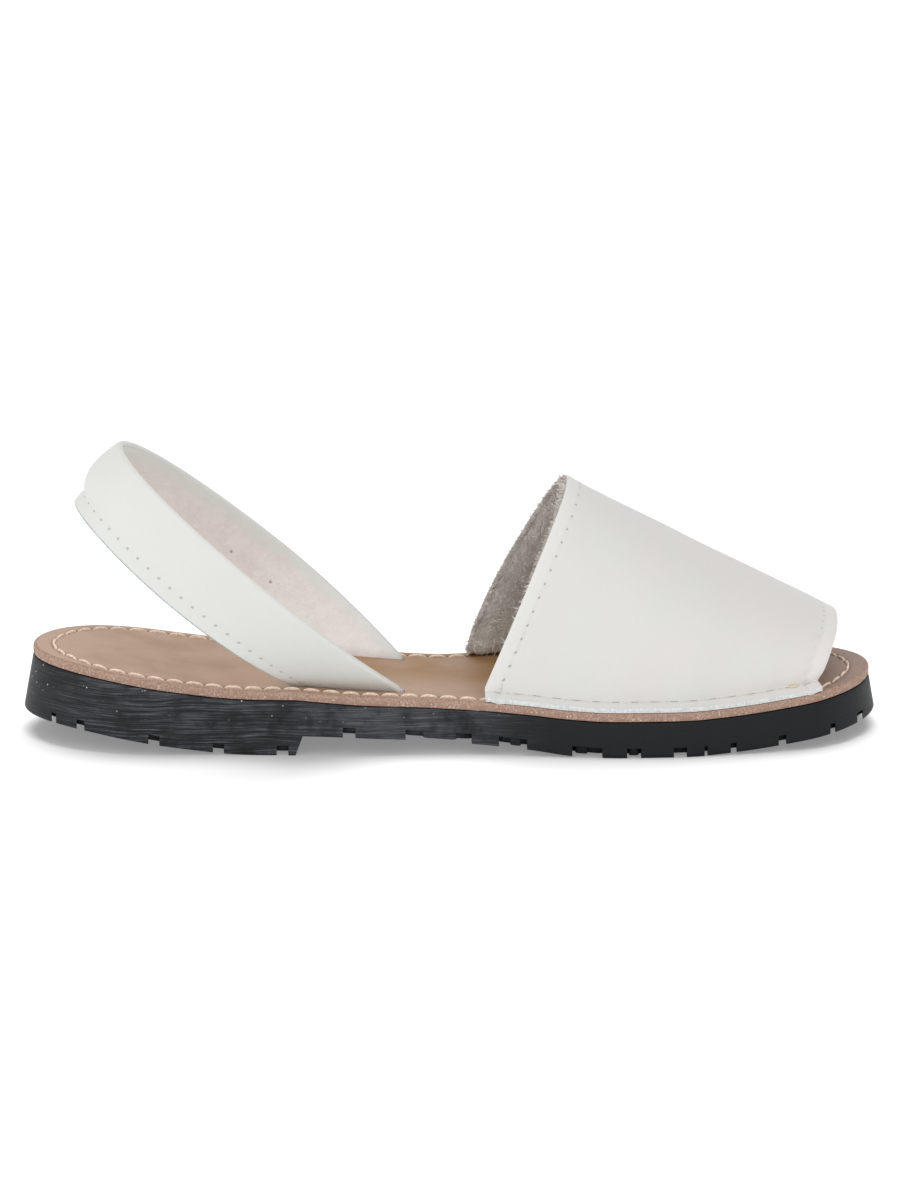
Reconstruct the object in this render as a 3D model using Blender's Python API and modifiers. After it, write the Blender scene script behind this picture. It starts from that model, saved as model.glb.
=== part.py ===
"""Avarca sandal, right shoe: rubber outsole with a low heel, leather insole,
open-toed leather vamp with a stitched-down flange, and a heel strap whose two
feet drop through slits in the insole. Metres, +Z up, +X towards the toe, +Y to
the medial side. The origin is the middle of the heel's flat spot on the floor.
"""

import math
from collections import namedtuple

import bmesh
import bpy

# Sole, seen from above
SOLE_LENGTH = 0.255
HEEL_WIDTH = 0.060
BALL_WIDTH = 0.0835
HEEL_ROUND = 0.040
TOE_ROUND = 0.060
SIDE_FLARE = 0.0016

# Sole, seen from the side
HEEL_RUBBER = 0.0166
WAIST_RUBBER = 0.0096
FORE_RUBBER = 0.0106
BREAST_STEP = 0.0060
HEEL_SPRING = 0.0070
TOE_SPRING = 0.0052
INSOLE_WALL = 0.0027
TREAD_DEPTH = 0.0030
CHANNEL_WIDTH = 0.0034
CHANNEL_DEPTH = 0.0024
BITE_REACH = 0.0065

# Vamp
VAMP_WALL = 0.0024
FLANGE = 0.0055
FLANGE_RADIUS = 0.0034
INSTEP_HEIGHT = 0.0612
TOE_OPENING = 0.0135
RIDGE_DIP = 0.0022
CROWN_SHIFT = 0.0030
MEDIAL_LEAN = 1.20
THROAT_FULLNESS = 2.30
TOE_FULLNESS = 2.50

# Heel strap
STRAP_WALL = 0.0022
STRAP_WIDTH = 0.0225
STRAP_LEAN = math.radians(36.0)
STRAP_TOP = 0.0878
LOOP_WIDTH = 0.0732
LOWER_LOOP_WIDTH = 0.0680
STRAP_SAG = 0.0020
STRAP_FLARE = 0.0012
STRAP_BOW = 0.0014
STRAP_SEAM = 0.0045
STRAP_INSET = 0.0080
STRAP_RISE = 0.0012

# The strap's loop: where each edge is widest, as a share of its run, the share of
# its rows behind that place, and the share after which the back's curl has faded
LOOP_WIDEST = 0.56
LOWER_LOOP_WIDEST = 0.63
LOOP_SPLIT = 0.62
CURL_END = 0.80

# Touching pieces lie this far apart
GAP = 0.0003
SLIT_GAP = 0.0005

# Stations along the sole, as shares of its length
BREAST = 0.313
HEEL_FLAT_START = 0.270
FORE_FLAT_START = 0.670
FORE_FLAT_END = 0.785
HEEL_REST = 0.289
VAMP_REAR_LATERAL = 0.538
VAMP_REAR_MEDIAL = 0.520
VAMP_REAR_CROWN = 0.634
VAMP_FRONT_LATERAL = 0.935
VAMP_FRONT_MEDIAL = 0.929
VAMP_FRONT_CROWN = 0.9505
STRAP_BACK = 0.1115
STRAP_FOOT_REAR = 0.310
STRAP_FOOT_FRONT = 0.445

# Half widths as shares of the heel's or the ball's width
Half = namedtuple("Half", "along of lateral medial")
OUTLINE = [
    Half(0.00, "heel", 0.500, 0.500),
    Half(0.18, "heel", 0.500, 0.500),
    Half(0.25, "heel", 0.513, 0.473),
    Half(0.32, "heel", 0.532, 0.400),
    Half(0.40, "heel", 0.545, 0.340),
    Half(0.47, "heel", 0.525, 0.340),
    Half(0.53, "ball", 0.382, 0.290),
    Half(0.58, "ball", 0.404, 0.369),
    Half(0.64, "ball", 0.429, 0.467),
    Half(0.70, "ball", 0.448, 0.535),
    Half(0.76, "ball", 0.443, 0.551),
    Half(0.82, "ball", 0.428, 0.535),
    Half(0.88, "ball", 0.435, 0.517),
    Half(0.94, "ball", 0.474, 0.495),
    Half(1.00, "ball", 0.491, 0.491),
]

# Underside of the waist, from the heel's breast to the forefoot's flat spot,
# as shares of that run and of the breast's step, and the rubber's thickness
# there as a blend: 0 is the heel's remainder, 1 the waist's, 2 the forefoot's
Waist = namedtuple("Waist", "run lift blend")
WAIST = [
    Waist(0.00, 1.00, 0.00),
    Waist(0.10, 0.97, 0.60),
    Waist(0.22, 0.90, 1.00),
    Waist(0.42, 0.72, 1.05),
    Waist(0.62, 0.50, 1.30),
    Waist(0.78, 0.31, 1.55),
    Waist(0.90, 0.09, 1.90),
    Waist(1.00, 0.00, 2.00),
]

# Cuts in the tread, as shares of the length: a groove crosses the sole, a bite
# reaches in from both edges
Cut = namedtuple("Cut", "start end kind")
TREAD = [
    Cut(0.0270, 0.0320, "bite"),
    Cut(0.0560, 0.0650, "groove"),
    Cut(0.1400, 0.1530, "groove"),
    Cut(0.2160, 0.2290, "groove"),
    Cut(0.2910, 0.3050, "bite"),
    Cut(0.3690, 0.3840, "groove"),
    Cut(0.4430, 0.5210, "bite"),
    Cut(0.5530, 0.5860, "groove"),
    Cut(0.6390, 0.6745, "bite"),
    Cut(0.7035, 0.7200, "groove"),
    Cut(0.7585, 0.7740, "groove"),
    Cut(0.7950, 0.7985, "bite"),
    Cut(0.8260, 0.8330, "groove"),
    Cut(0.8830, 0.8920, "groove"),
    Cut(0.9450, 0.9510, "groove"),
    Cut(0.9780, 0.9850, "bite"),
]

# Channels along the tread: side is a share of the half width on that side
Channel = namedtuple("Channel", "start end side")
CHANNELS = [
    Channel(0.060, 0.290, -0.42),
    Channel(0.060, 0.290, 0.42),
    Channel(0.380, 0.940, -0.42),
    Channel(0.380, 0.940, 0.42),
]


def fair(rows, share, column):
    """A monotone cubic through one column of a table, over its first column."""
    xs = [row[0] for row in rows]
    ys = [column(row) for row in rows]
    if share <= xs[0]:
        return ys[0]
    if share >= xs[-1]:
        return ys[-1]
    slopes = [(ys[i + 1] - ys[i]) / (xs[i + 1] - xs[i]) for i in range(len(xs) - 1)]
    tangents = [slopes[0]]
    for a, b in zip(slopes, slopes[1:]):
        tangents.append(0.0 if a * b <= 0 else 2 * a * b / (a + b))
    tangents.append(slopes[-1])
    i = max(k for k in range(len(xs) - 1) if xs[k] <= share)
    h = xs[i + 1] - xs[i]
    t = (share - xs[i]) / h
    return (
        ys[i] * (1 + 2 * t) * (1 - t) ** 2
        + tangents[i] * h * t * (1 - t) ** 2
        + ys[i + 1] * t * t * (3 - 2 * t)
        + tangents[i + 1] * h * t * t * (t - 1)
    )


def ease(share):
    share = min(1.0, max(0.0, share))
    return share * share * (3 - 2 * share)


def mix(a, b, share):
    return a + (b - a) * share


def half_width(x, side):
    """Half width of the insole at x, side -1 lateral or 1 medial."""
    widths = {"heel": HEEL_WIDTH, "ball": BALL_WIDTH}
    column = (lambda row: row.lateral * widths[row.of]) if side < 0 else (
        lambda row: row.medial * widths[row.of]
    )
    half = fair(OUTLINE, x / SOLE_LENGTH, column)
    from_back = min(1.0, (x - SIDE_FLARE) / HEEL_ROUND)
    from_tip = min(1.0, (SOLE_LENGTH - SIDE_FLARE - x) / TOE_ROUND)
    for reach in (from_back, from_tip):
        half *= math.sqrt(max(0.0, 1 - (1 - reach) ** 2))
    return half


def edge(x, side, inset=0.0):
    """A point on the insole's edge, moved in by inset along the edge's normal."""
    step = 0.0004
    low = max(SIDE_FLARE + 1e-5, x - step)
    high = min(SOLE_LENGTH - SIDE_FLARE - 1e-5, x + step)
    run = high - low
    rise = side * (half_width(high, side) - half_width(low, side))
    length = math.hypot(run, rise)
    normal = (side * -rise / length, side * run / length)
    return x - normal[0] * inset, side * half_width(x, side) - normal[1] * inset


def lift(x):
    """Height of the outsole's underside above the floor."""
    share = x / SOLE_LENGTH
    if share <= BREAST:
        return HEEL_SPRING * ease((HEEL_FLAT_START - share) / HEEL_FLAT_START)
    if share <= FORE_FLAT_START:
        run = (share - BREAST) / (FORE_FLAT_START - BREAST)
        return BREAST_STEP * fair(WAIST, run, lambda row: row.lift)
    if share <= FORE_FLAT_END:
        return 0.0
    return TOE_SPRING * ((share - FORE_FLAT_END) / (1 - FORE_FLAT_END)) ** 1.35


def rubber(x):
    """Thickness of the outsole."""
    share = x / SOLE_LENGTH
    if share <= BREAST:
        return HEEL_RUBBER
    run = min(1.0, (share - BREAST) / (FORE_FLAT_START - BREAST))
    blend = fair(WAIST, run, lambda row: row.blend)
    if blend <= 1:
        return mix(HEEL_RUBBER - BREAST_STEP, WAIST_RUBBER, blend)
    return mix(WAIST_RUBBER, FORE_RUBBER, blend - 1)


def sole_top(x):
    return lift(x) + rubber(x)


def insole_top(x):
    return sole_top(x) + GAP + INSOLE_WALL


def stations():
    """Places along the sole: close at the round ends, and on each break."""
    start = SIDE_FLARE
    end = SOLE_LENGTH - SIDE_FLARE
    arc = [math.radians(a) for a in (2, 8, 15, 23, 32, 42, 52, 63, 76, 90)]
    places = [start + HEEL_ROUND * (1 - math.cos(a)) for a in arc]
    places += [end - TOE_ROUND * (1 - math.cos(a)) for a in arc]
    steps = 26
    middle = (start + HEEL_ROUND, end - TOE_ROUND)
    places += [mix(*middle, i / steps) for i in range(1, steps)]
    places += [share * SOLE_LENGTH for share in
               (HEEL_FLAT_START, BREAST, FORE_FLAT_START, FORE_FLAT_END)]
    places += [BREAST * SOLE_LENGTH + GAP]
    places.sort()
    kept = [places[0]]
    for x in places[1:]:
        breast = abs(x - BREAST * SOLE_LENGTH) < 2 * GAP
        if x - kept[-1] > 0.0003 or breast and x - kept[-1] > GAP / 2:
            kept.append(x)
    return kept


def skin(name, rings, closed=True):
    """Faces between rings of points; closed rings make a capped solid."""
    mesh = bmesh.new()
    rows = [[mesh.verts.new(point) for point in ring] for ring in rings]
    count = len(rings[0])
    for low, high in zip(rows, rows[1:]):
        for i in range(count if closed else count - 1):
            j = (i + 1) % count
            mesh.faces.new((low[i], low[j], high[j], high[i]))
    if closed:
        mesh.faces.new(rows[0][::-1])
        mesh.faces.new(rows[-1])
    bmesh.ops.recalc_face_normals(mesh, faces=mesh.faces)
    data = bpy.data.meshes.new(name)
    mesh.to_mesh(data)
    mesh.free()
    return bpy.data.objects.new(name, data)


def material(name, colour, roughness):
    made = bpy.data.materials.new(name)
    made.use_nodes = True
    shader = made.node_tree.nodes["Principled BSDF"]
    shader.inputs["Base Color"].default_value = (*colour, 1.0)
    shader.inputs["Roughness"].default_value = roughness
    shader.inputs["Metallic"].default_value = 0.0
    return made


def place(obj, collection, parent, look=None):
    collection.objects.link(obj)
    obj.parent = parent
    if look:
        obj.data.materials.append(look)
    return obj


def cut_away(obj, cutter, collection, parent):
    """Boolean difference; the cutter stays as a hidden guide."""
    place(cutter, collection, parent)
    cutter.display_type = "WIRE"
    cutter.hide_render = True
    cut = obj.modifiers.new(cutter.name, "BOOLEAN")
    cut.operation = "DIFFERENCE"
    cut.solver = "EXACT"
    cut.object = cutter


def plate(name, top, bottom, flare):
    """A slab with the sole's outline; flare widens its lower edge."""
    rings = []
    for x in stations():
        rings.append([
            (*edge(x, -1, -flare), bottom(x)),
            (*edge(x, 1, -flare), bottom(x)),
            (*edge(x, 1), top(x)),
            (*edge(x, -1), top(x)),
        ])
    return skin(name, rings)


def bar_rings(places, low_side, high_side, depth):
    """Rings of a bar under the sole, its upper face depth into the rubber."""
    below = 0.004
    return [
        [(x, low_side(x), lift(x) - below), (x, high_side(x), lift(x) - below),
         (x, high_side(x), lift(x) + depth), (x, low_side(x), lift(x) + depth)]
        for x in places
    ]


def outsole(collection, cutters, parent, look):
    """Rubber unit: flat spots under heel and ball, waist lifted, cut tread."""
    sole = plate("outsole", sole_top, lift, SIDE_FLARE)
    place(sole, collection, parent, look)
    margin = 0.008
    for number, row in enumerate(TREAD):
        ends = (row.start * SOLE_LENGTH, row.end * SOLE_LENGTH)
        sides = [(lambda x: -BALL_WIDTH, lambda x: BALL_WIDTH)]
        if row.kind == "bite":
            sides = [
                (lambda x: -half_width(x, -1) - margin,
                 lambda x: -max(BITE_REACH, half_width(x, -1) - BITE_REACH)),
                (lambda x: max(BITE_REACH, half_width(x, 1) - BITE_REACH),
                 lambda x: half_width(x, 1) + margin),
            ]
        for part, (low, high) in enumerate(sides):
            rings = bar_rings(ends, low, high, TREAD_DEPTH)
            cutter = skin(f"cut_{number}_{part}", rings)
            cut_away(sole, cutter, cutters, parent)
    for number, row in enumerate(CHANNELS):
        side = math.copysign(1, row.side)
        steps = max(4, round((row.end - row.start) * SOLE_LENGTH / 0.010))
        places = [mix(row.start, row.end, i / steps) * SOLE_LENGTH
                  for i in range(steps + 1)]
        rings = bar_rings(
            places,
            lambda x: side * channel_line(x, side, row) - CHANNEL_WIDTH / 2,
            lambda x: side * channel_line(x, side, row) + CHANNEL_WIDTH / 2,
            CHANNEL_DEPTH,
        )
        cut_away(sole, skin(f"channel_{number}", rings), cutters, parent)
    return sole


def channel_line(x, side, row):
    return abs(row.side) * half_width(x, side)


def slit(name, side):
    """Block that cuts the strap foot's slit through the insole."""
    rear = strap_foot(0.0, side)
    front = strap_foot(1.0, side)
    run = (front[0] - rear[0], front[1] - rear[1])
    length = math.hypot(*run)
    along = (run[0] / length, run[1] / length)
    across = (-along[1], along[0])
    half = STRAP_WALL / 2 + SLIT_GAP
    rings = []
    for centre, end in ((rear, -SLIT_GAP), (front, SLIT_GAP)):
        x = centre[0] + along[0] * end
        y = centre[1] + along[1] * end
        rings.append([
            (x - across[0] * half, y - across[1] * half, sole_top(x) - 0.002),
            (x + across[0] * half, y + across[1] * half, sole_top(x) - 0.002),
            (x + across[0] * half, y + across[1] * half, insole_top(x) + 0.002),
            (x - across[0] * half, y - across[1] * half, insole_top(x) + 0.002),
        ])
    return skin(name, rings)


def insole(collection, cutters, parent, look):
    """Leather insole, flush with the rubber's edge, with two strap slits."""
    leather = plate("insole", insole_top, lambda x: sole_top(x) + GAP, 0.0)
    place(leather, collection, parent, look)
    for side, name in ((-1, "slit_lateral"), (1, "slit_medial")):
        cut_away(leather, slit(name, side), cutters, parent)
    return leather


def sheet(name, rows, wall, offset):
    """An open surface of rows of points, given its wall by Solidify."""
    obj = skin(name, rows, closed=False)
    thick = obj.modifiers.new("wall", "SOLIDIFY")
    thick.thickness = wall
    thick.offset = offset
    thick.use_even_offset = True
    thick.use_quality_normals = True
    return obj


def arch(along):
    """The vamp's lining side across the foot: along is 0 at the throat, 1 at the toe."""
    places = (
        mix(VAMP_REAR_LATERAL, VAMP_FRONT_LATERAL, along) * SOLE_LENGTH,
        mix(VAMP_REAR_MEDIAL, VAMP_FRONT_MEDIAL, along) * SOLE_LENGTH,
    )
    crown_x = mix(VAMP_REAR_CROWN, VAMP_FRONT_CROWN, along) * SOLE_LENGTH
    edges = [edge(x, side) for x, side in zip(places, (-1, 1))]
    feet = [edge(x, side, FLANGE) for x, side in zip(places, (-1, 1))]
    floors = [insole_top(x) + GAP for x in places]
    rear_height = insole_top(VAMP_REAR_CROWN * SOLE_LENGTH) + INSTEP_HEIGHT
    front_height = insole_top(VAMP_FRONT_CROWN * SOLE_LENGTH) + TOE_OPENING
    crown_z = mix(rear_height, front_height, along)
    crown_z -= RIDGE_DIP * math.sin(math.pi * along)
    crown_y = (feet[0][1] + feet[1][1]) / 2 + CROWN_SHIFT * (1 - along)
    power = 2 / mix(THROAT_FULLNESS, TOE_FULLNESS, along)
    turns = 28
    points = []
    for i in range(turns + 1):
        angle = math.pi * i / turns
        which = 0 if angle <= math.pi / 2 else 1
        up = math.sin(angle) ** power if 0 < i < turns else 0.0
        out = abs(math.cos(angle)) ** power
        foot_x, foot_y = feet[which]
        lean = mix((1.0, MEDIAL_LEAN)[which], 1.0, along)
        points.append((
            mix(foot_x, crown_x, up ** lean),
            mix(crown_y, foot_y, out),
            mix(floors[which] + FLANGE_RADIUS, crown_z, up),
        ))
    lateral = flange(edges[0], feet[0], floors[0])
    medial = flange(edges[1], feet[1], floors[1])
    return lateral + points + medial[::-1]


def flange(rim, foot, floor):
    """From the sole's edge along the insole and round the soft corner, up to the wall."""
    reach = math.hypot(rim[0] - foot[0], rim[1] - foot[1])
    out = ((rim[0] - foot[0]) / reach, (rim[1] - foot[1]) / reach)
    line = [(*rim, floor)]
    for angle in (0.0, 30.0, 60.0):
        turn = math.radians(angle)
        away = FLANGE_RADIUS * (1 - math.sin(turn))
        up = FLANGE_RADIUS * (1 - math.cos(turn))
        line.append((foot[0] + out[0] * away, foot[1] + out[1] * away, floor + up))
    return line


def vamp(collection, parent, look):
    """One wall of leather, arched over the forefoot, open at throat and toe."""
    steps = 18
    rows = [arch(i / steps) for i in range(steps + 1)]
    return place(sheet("vamp", rows, VAMP_WALL, 1.0), collection, parent, look)


def strap_foot(across, side):
    """A foot's line on the insole: across is 0 at its rear end, 1 at its front."""
    rear = edge(STRAP_FOOT_REAR * SOLE_LENGTH, side, STRAP_INSET)
    front = edge(STRAP_FOOT_FRONT * SOLE_LENGTH, side, STRAP_INSET)
    x = mix(rear[0], front[0], across)
    return x, mix(rear[1], front[1], across), insole_top(x) + STRAP_RISE


def loop_edge(share, back, foot, width, widest, sag):
    """A point of one strap edge: from its back, share 0, to its foot, share 1."""
    run = math.hypot(foot[0] - back[0], foot[2] - back[2])
    side = math.copysign(1, foot[1])
    if share <= LOOP_SPLIT:
        turn = math.pi / 2 * share / LOOP_SPLIT
        gone = widest * run * (1 - math.cos(turn))
        half = width / 2 * math.sin(turn)
    else:
        rest = (share - LOOP_SPLIT) / (1 - LOOP_SPLIT)
        gone = mix(widest * run, run, mix(rest, rest * rest, 0.25))
        beyond = (gone - widest * run) / (run - widest * run)
        half = mix(width / 2, abs(foot[1]), beyond * beyond)
    part = gone / run
    dip = sag * math.sin(math.pi * part)
    return (mix(back[0], foot[0], part), side * half, mix(back[2], foot[2], part) - dip)


def strap_row(share, side):
    """The strap across its width, lower edge first, at one place of the loop."""
    top_back = (STRAP_BACK * SOLE_LENGTH, 0.0, STRAP_TOP)
    low_back = (
        top_back[0] - STRAP_WIDTH * math.sin(STRAP_LEAN),
        0.0,
        top_back[2] - STRAP_WIDTH * math.cos(STRAP_LEAN),
    )
    upper = loop_edge(share, top_back, strap_foot(1.0, side), LOOP_WIDTH, LOOP_WIDEST, 0.0)
    lower = loop_edge(share, low_back, strap_foot(0.0, side), LOWER_LOOP_WIDTH,
                      LOWER_LOOP_WIDEST, STRAP_SAG)
    seam = STRAP_SEAM / STRAP_WIDTH
    fade = 1 - ease(share / CURL_END)
    out = loop_outward(share, side)
    row = []
    for across in (0.0, seam / 2, seam, 0.4, 0.6, 0.8, 1.0):
        point = [mix(a, b, across) for a, b in zip(lower, upper)]
        bow = math.sin(math.pi * max(0.0, (across - seam) / (1 - seam)))
        push = fade * (STRAP_FLARE * max(0.0, 1 - across / seam) + STRAP_BOW * bow)
        row.append((point[0] + out[0] * push, point[1] + out[1] * push, point[2]))
    return row


def loop_outward(share, side):
    turn = math.pi / 2 * min(1.0, share / LOOP_SPLIT)
    return -math.cos(turn), side * math.sin(turn)


def heel_strap(collection, parent, look):
    """Folded two-layer strap: a leaning loop with both feet in the slits."""
    steps = 22
    rows = []
    for side in (-1, 1):
        half = [strap_row(i / steps, side) for i in range(0 if side < 0 else 1, steps + 1)]
        foot = [
            (x, y, sole_top(x) + GAP) for x, y, z in half[-1]
        ]
        half.append(foot)
        rows = half[::-1] + rows if side < 0 else rows + half
    return place(sheet("heel_strap", rows, STRAP_WALL, 0.0), collection, parent, look)


def build():
    for old in list(bpy.data.objects):
        bpy.data.objects.remove(old, do_unlink=True)
    parts = bpy.data.collections.new("avarca_sandal")
    cutters = bpy.data.collections.new("cutters")
    for collection in (parts, cutters):
        bpy.context.scene.collection.children.link(collection)
    root = bpy.data.objects.new("sandal", None)
    root.location = (-HEEL_REST * SOLE_LENGTH, 0.0, 0.0)
    parts.objects.link(root)
    outsole(parts, cutters, root, material("black rubber", (0.032, 0.036, 0.040), 0.62))
    insole(parts, cutters, root, material("tan leather", (0.44, 0.29, 0.19), 0.55))
    vamp(parts, root, material("white leather", (0.78, 0.77, 0.74), 0.5))
    heel_strap(parts, root, material("white strap leather", (0.79, 0.77, 0.74), 0.5))


build()
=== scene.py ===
"""Looks of an avarca sandal, right shoe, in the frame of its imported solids.
Metres, +X towards the toe, +Y to the medial side, +Z up."""

import math
import random
from collections import namedtuple
from functools import lru_cache

import bmesh
import bpy
from mathutils import Matrix, Vector, noise


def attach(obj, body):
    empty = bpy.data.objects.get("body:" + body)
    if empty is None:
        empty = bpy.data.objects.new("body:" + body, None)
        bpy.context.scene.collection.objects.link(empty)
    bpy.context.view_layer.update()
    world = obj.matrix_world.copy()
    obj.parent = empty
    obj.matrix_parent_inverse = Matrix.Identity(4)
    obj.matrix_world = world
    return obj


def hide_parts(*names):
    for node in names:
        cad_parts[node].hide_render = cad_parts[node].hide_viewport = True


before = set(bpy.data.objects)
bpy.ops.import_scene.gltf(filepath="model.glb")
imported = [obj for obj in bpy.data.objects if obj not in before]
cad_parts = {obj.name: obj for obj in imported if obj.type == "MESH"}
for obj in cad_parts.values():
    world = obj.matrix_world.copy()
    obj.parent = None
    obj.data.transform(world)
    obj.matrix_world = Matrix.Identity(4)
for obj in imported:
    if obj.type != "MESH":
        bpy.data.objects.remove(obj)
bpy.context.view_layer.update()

# Outsole: one moulded rubber unit with a low heel, a lifted waist and a cut tread. Its
# side was ground flush with the leather above it, which left fine lines round the heel.
SOLE_LENGTH = 0.255
HEEL_WIDTH = 0.060
BALL_WIDTH = 0.0835
HEEL_ROUND = 0.040
TOE_ROUND = 0.060
SIDE_FLARE = 0.0016
HEEL_FLARE = 0.0011
HEEL_RUBBER = 0.0166
WAIST_RUBBER = 0.0096
FORE_RUBBER = 0.0106
BREAST_STEP = 0.0060
HEEL_SPRING = 0.0070
TOE_SPRING = 0.0052
TREAD_DEPTH = 0.0030
BITE_REACH = 0.0065
CHANNEL_WIDTH = 0.0034
CHANNEL_DEPTH = 0.0024
HEEL_REST = 0.289
HEEL_FLAT_START = 0.270
BREAST = 0.313
FORE_FLAT_START = 0.670
FORE_FLAT_END = 0.785
SIDE_CELLS = 230
MIDDLE_BACK = 0.14
MIDDLE_FRONT = 0.85

def colour(red, green, blue):
    """A colour given as on a screen, 0 to 255, in the linear values that shaders use."""
    return tuple(
        c / 12.92 if c <= 0.04045 else ((c + 0.055) / 1.055) ** 2.4
        for c in (red / 255, green / 255, blue / 255)
    )


RUBBER = colour(14, 16, 19)
RUBBER_DEEP = colour(9, 11, 14)
RUBBER_WORN = colour(50, 51, 55)
RUBBER_SCORED = colour(88, 90, 95)
RUBBER_DUST = colour(190, 188, 180)

Half = namedtuple("Half", "along of lateral medial")
OUTLINE = [
    Half(0.00, HEEL_WIDTH, 0.500, 0.500),
    Half(0.18, HEEL_WIDTH, 0.500, 0.500),
    Half(0.25, HEEL_WIDTH, 0.513, 0.473),
    Half(0.32, HEEL_WIDTH, 0.532, 0.400),
    Half(0.40, HEEL_WIDTH, 0.545, 0.340),
    Half(0.47, HEEL_WIDTH, 0.525, 0.340),
    Half(0.53, BALL_WIDTH, 0.382, 0.290),
    Half(0.58, BALL_WIDTH, 0.404, 0.369),
    Half(0.64, BALL_WIDTH, 0.429, 0.467),
    Half(0.70, BALL_WIDTH, 0.448, 0.535),
    Half(0.76, BALL_WIDTH, 0.443, 0.551),
    Half(0.82, BALL_WIDTH, 0.428, 0.535),
    Half(0.88, BALL_WIDTH, 0.435, 0.517),
    Half(0.94, BALL_WIDTH, 0.474, 0.495),
    Half(1.00, BALL_WIDTH, 0.491, 0.491),
]
# Underside of the waist: its height as a share of the breast's step, and the rubber's
# thickness as a blend, 0 at the breast, 1 at the waist and 2 at the forefoot
Waist = namedtuple("Waist", "run lift blend")
WAIST = [
    Waist(0.00, 1.00, 0.00),
    Waist(0.10, 0.97, 0.60),
    Waist(0.22, 0.90, 1.00),
    Waist(0.42, 0.72, 1.05),
    Waist(0.62, 0.50, 1.30),
    Waist(0.78, 0.31, 1.55),
    Waist(0.90, 0.09, 1.90),
    Waist(1.00, 0.00, 2.00),
]
# Cuts in the tread: a groove crosses the sole, a bite reaches in from both edges
Cut = namedtuple("Cut", "start end kind")
TREAD = [
    Cut(0.0270, 0.0320, "bite"),
    Cut(0.0560, 0.0650, "groove"),
    Cut(0.1400, 0.1530, "groove"),
    Cut(0.2160, 0.2290, "groove"),
    Cut(0.2910, 0.3050, "bite"),
    Cut(0.3690, 0.3840, "groove"),
    Cut(0.4430, 0.5210, "bite"),
    Cut(0.5530, 0.5860, "groove"),
    Cut(0.6390, 0.6745, "bite"),
    Cut(0.7035, 0.7200, "groove"),
    Cut(0.7585, 0.7740, "groove"),
    Cut(0.7950, 0.7985, "bite"),
    Cut(0.8260, 0.8330, "groove"),
    Cut(0.8830, 0.8920, "groove"),
    Cut(0.9450, 0.9510, "groove"),
    Cut(0.9780, 0.9850, "bite"),
]


def mix(a, b, share):
    return a + (b - a) * share


def ease(share):
    share = min(1.0, max(0.0, share))
    return share * share * (3 - 2 * share)


def fair(rows, share, column):
    """A monotone cubic through one column of a table, over its first column."""
    xs = [row[0] for row in rows]
    ys = [column(row) for row in rows]
    if share <= xs[0]:
        return ys[0]
    if share >= xs[-1]:
        return ys[-1]
    slopes = [(ys[i + 1] - ys[i]) / (xs[i + 1] - xs[i]) for i in range(len(xs) - 1)]
    tangents = [slopes[0]]
    for a, b in zip(slopes, slopes[1:]):
        tangents.append(0.0 if a * b <= 0 else 2 * a * b / (a + b))
    tangents.append(slopes[-1])
    i = max(k for k in range(len(xs) - 1) if xs[k] <= share)
    h = xs[i + 1] - xs[i]
    t = (share - xs[i]) / h
    return (
        ys[i] * (1 + 2 * t) * (1 - t) ** 2
        + tangents[i] * h * t * (1 - t) ** 2
        + ys[i + 1] * t * t * (3 - 2 * t)
        + tangents[i + 1] * h * t * t * (t - 1)
    )


@lru_cache(maxsize=None)
def half_width(x, side):
    """Half width of the insole, x from the heel's back, side -1 lateral or 1 medial."""
    half = fair(OUTLINE, x / SOLE_LENGTH,
                lambda row: row.of * (row.lateral if side < 0 else row.medial))
    from_back = min(1.0, (x - SIDE_FLARE) / HEEL_ROUND)
    from_tip = min(1.0, (SOLE_LENGTH - SIDE_FLARE - x) / TOE_ROUND)
    for reach in (from_back, from_tip):
        half *= math.sqrt(max(0.0, 1 - (1 - reach) ** 2))
    return half


def lift(x):
    """Height of the underside above the floor."""
    share = x / SOLE_LENGTH
    if share <= BREAST:
        return HEEL_SPRING * ease((HEEL_FLAT_START - share) / HEEL_FLAT_START)
    if share <= FORE_FLAT_START:
        run = (share - BREAST) / (FORE_FLAT_START - BREAST)
        return BREAST_STEP * fair(WAIST, run, lambda row: row.lift)
    if share <= FORE_FLAT_END:
        return 0.0
    return TOE_SPRING * ((share - FORE_FLAT_END) / (1 - FORE_FLAT_END)) ** 1.35


@lru_cache(maxsize=None)
def sole_top(x):
    share = x / SOLE_LENGTH
    if share <= BREAST:
        return lift(x) + HEEL_RUBBER
    run = min(1.0, (share - BREAST) / (FORE_FLAT_START - BREAST))
    blend = fair(WAIST, run, lambda row: row.blend)
    if blend <= 1:
        return lift(x) + mix(HEEL_RUBBER - BREAST_STEP, WAIST_RUBBER, blend)
    return lift(x) + mix(WAIST_RUBBER, FORE_RUBBER, blend - 1)


def walk(points):
    """Distances from the first point along a line of points."""
    run = [0.0]
    for a, b in zip(points, points[1:]):
        run.append(run[-1] + (b - a).length)
    return run


def spaced(points, count):
    """The same line with count equal steps."""
    run = walk(points)
    found = []
    k = 0
    for i in range(count + 1):
        goal = run[-1] * i / count
        while k < len(run) - 2 and run[k + 1] < goal:
            k += 1
        step = run[k + 1] - run[k]
        found.append(points[k].lerp(points[k + 1], (goal - run[k]) / step if step else 0.0))
    return found


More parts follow.
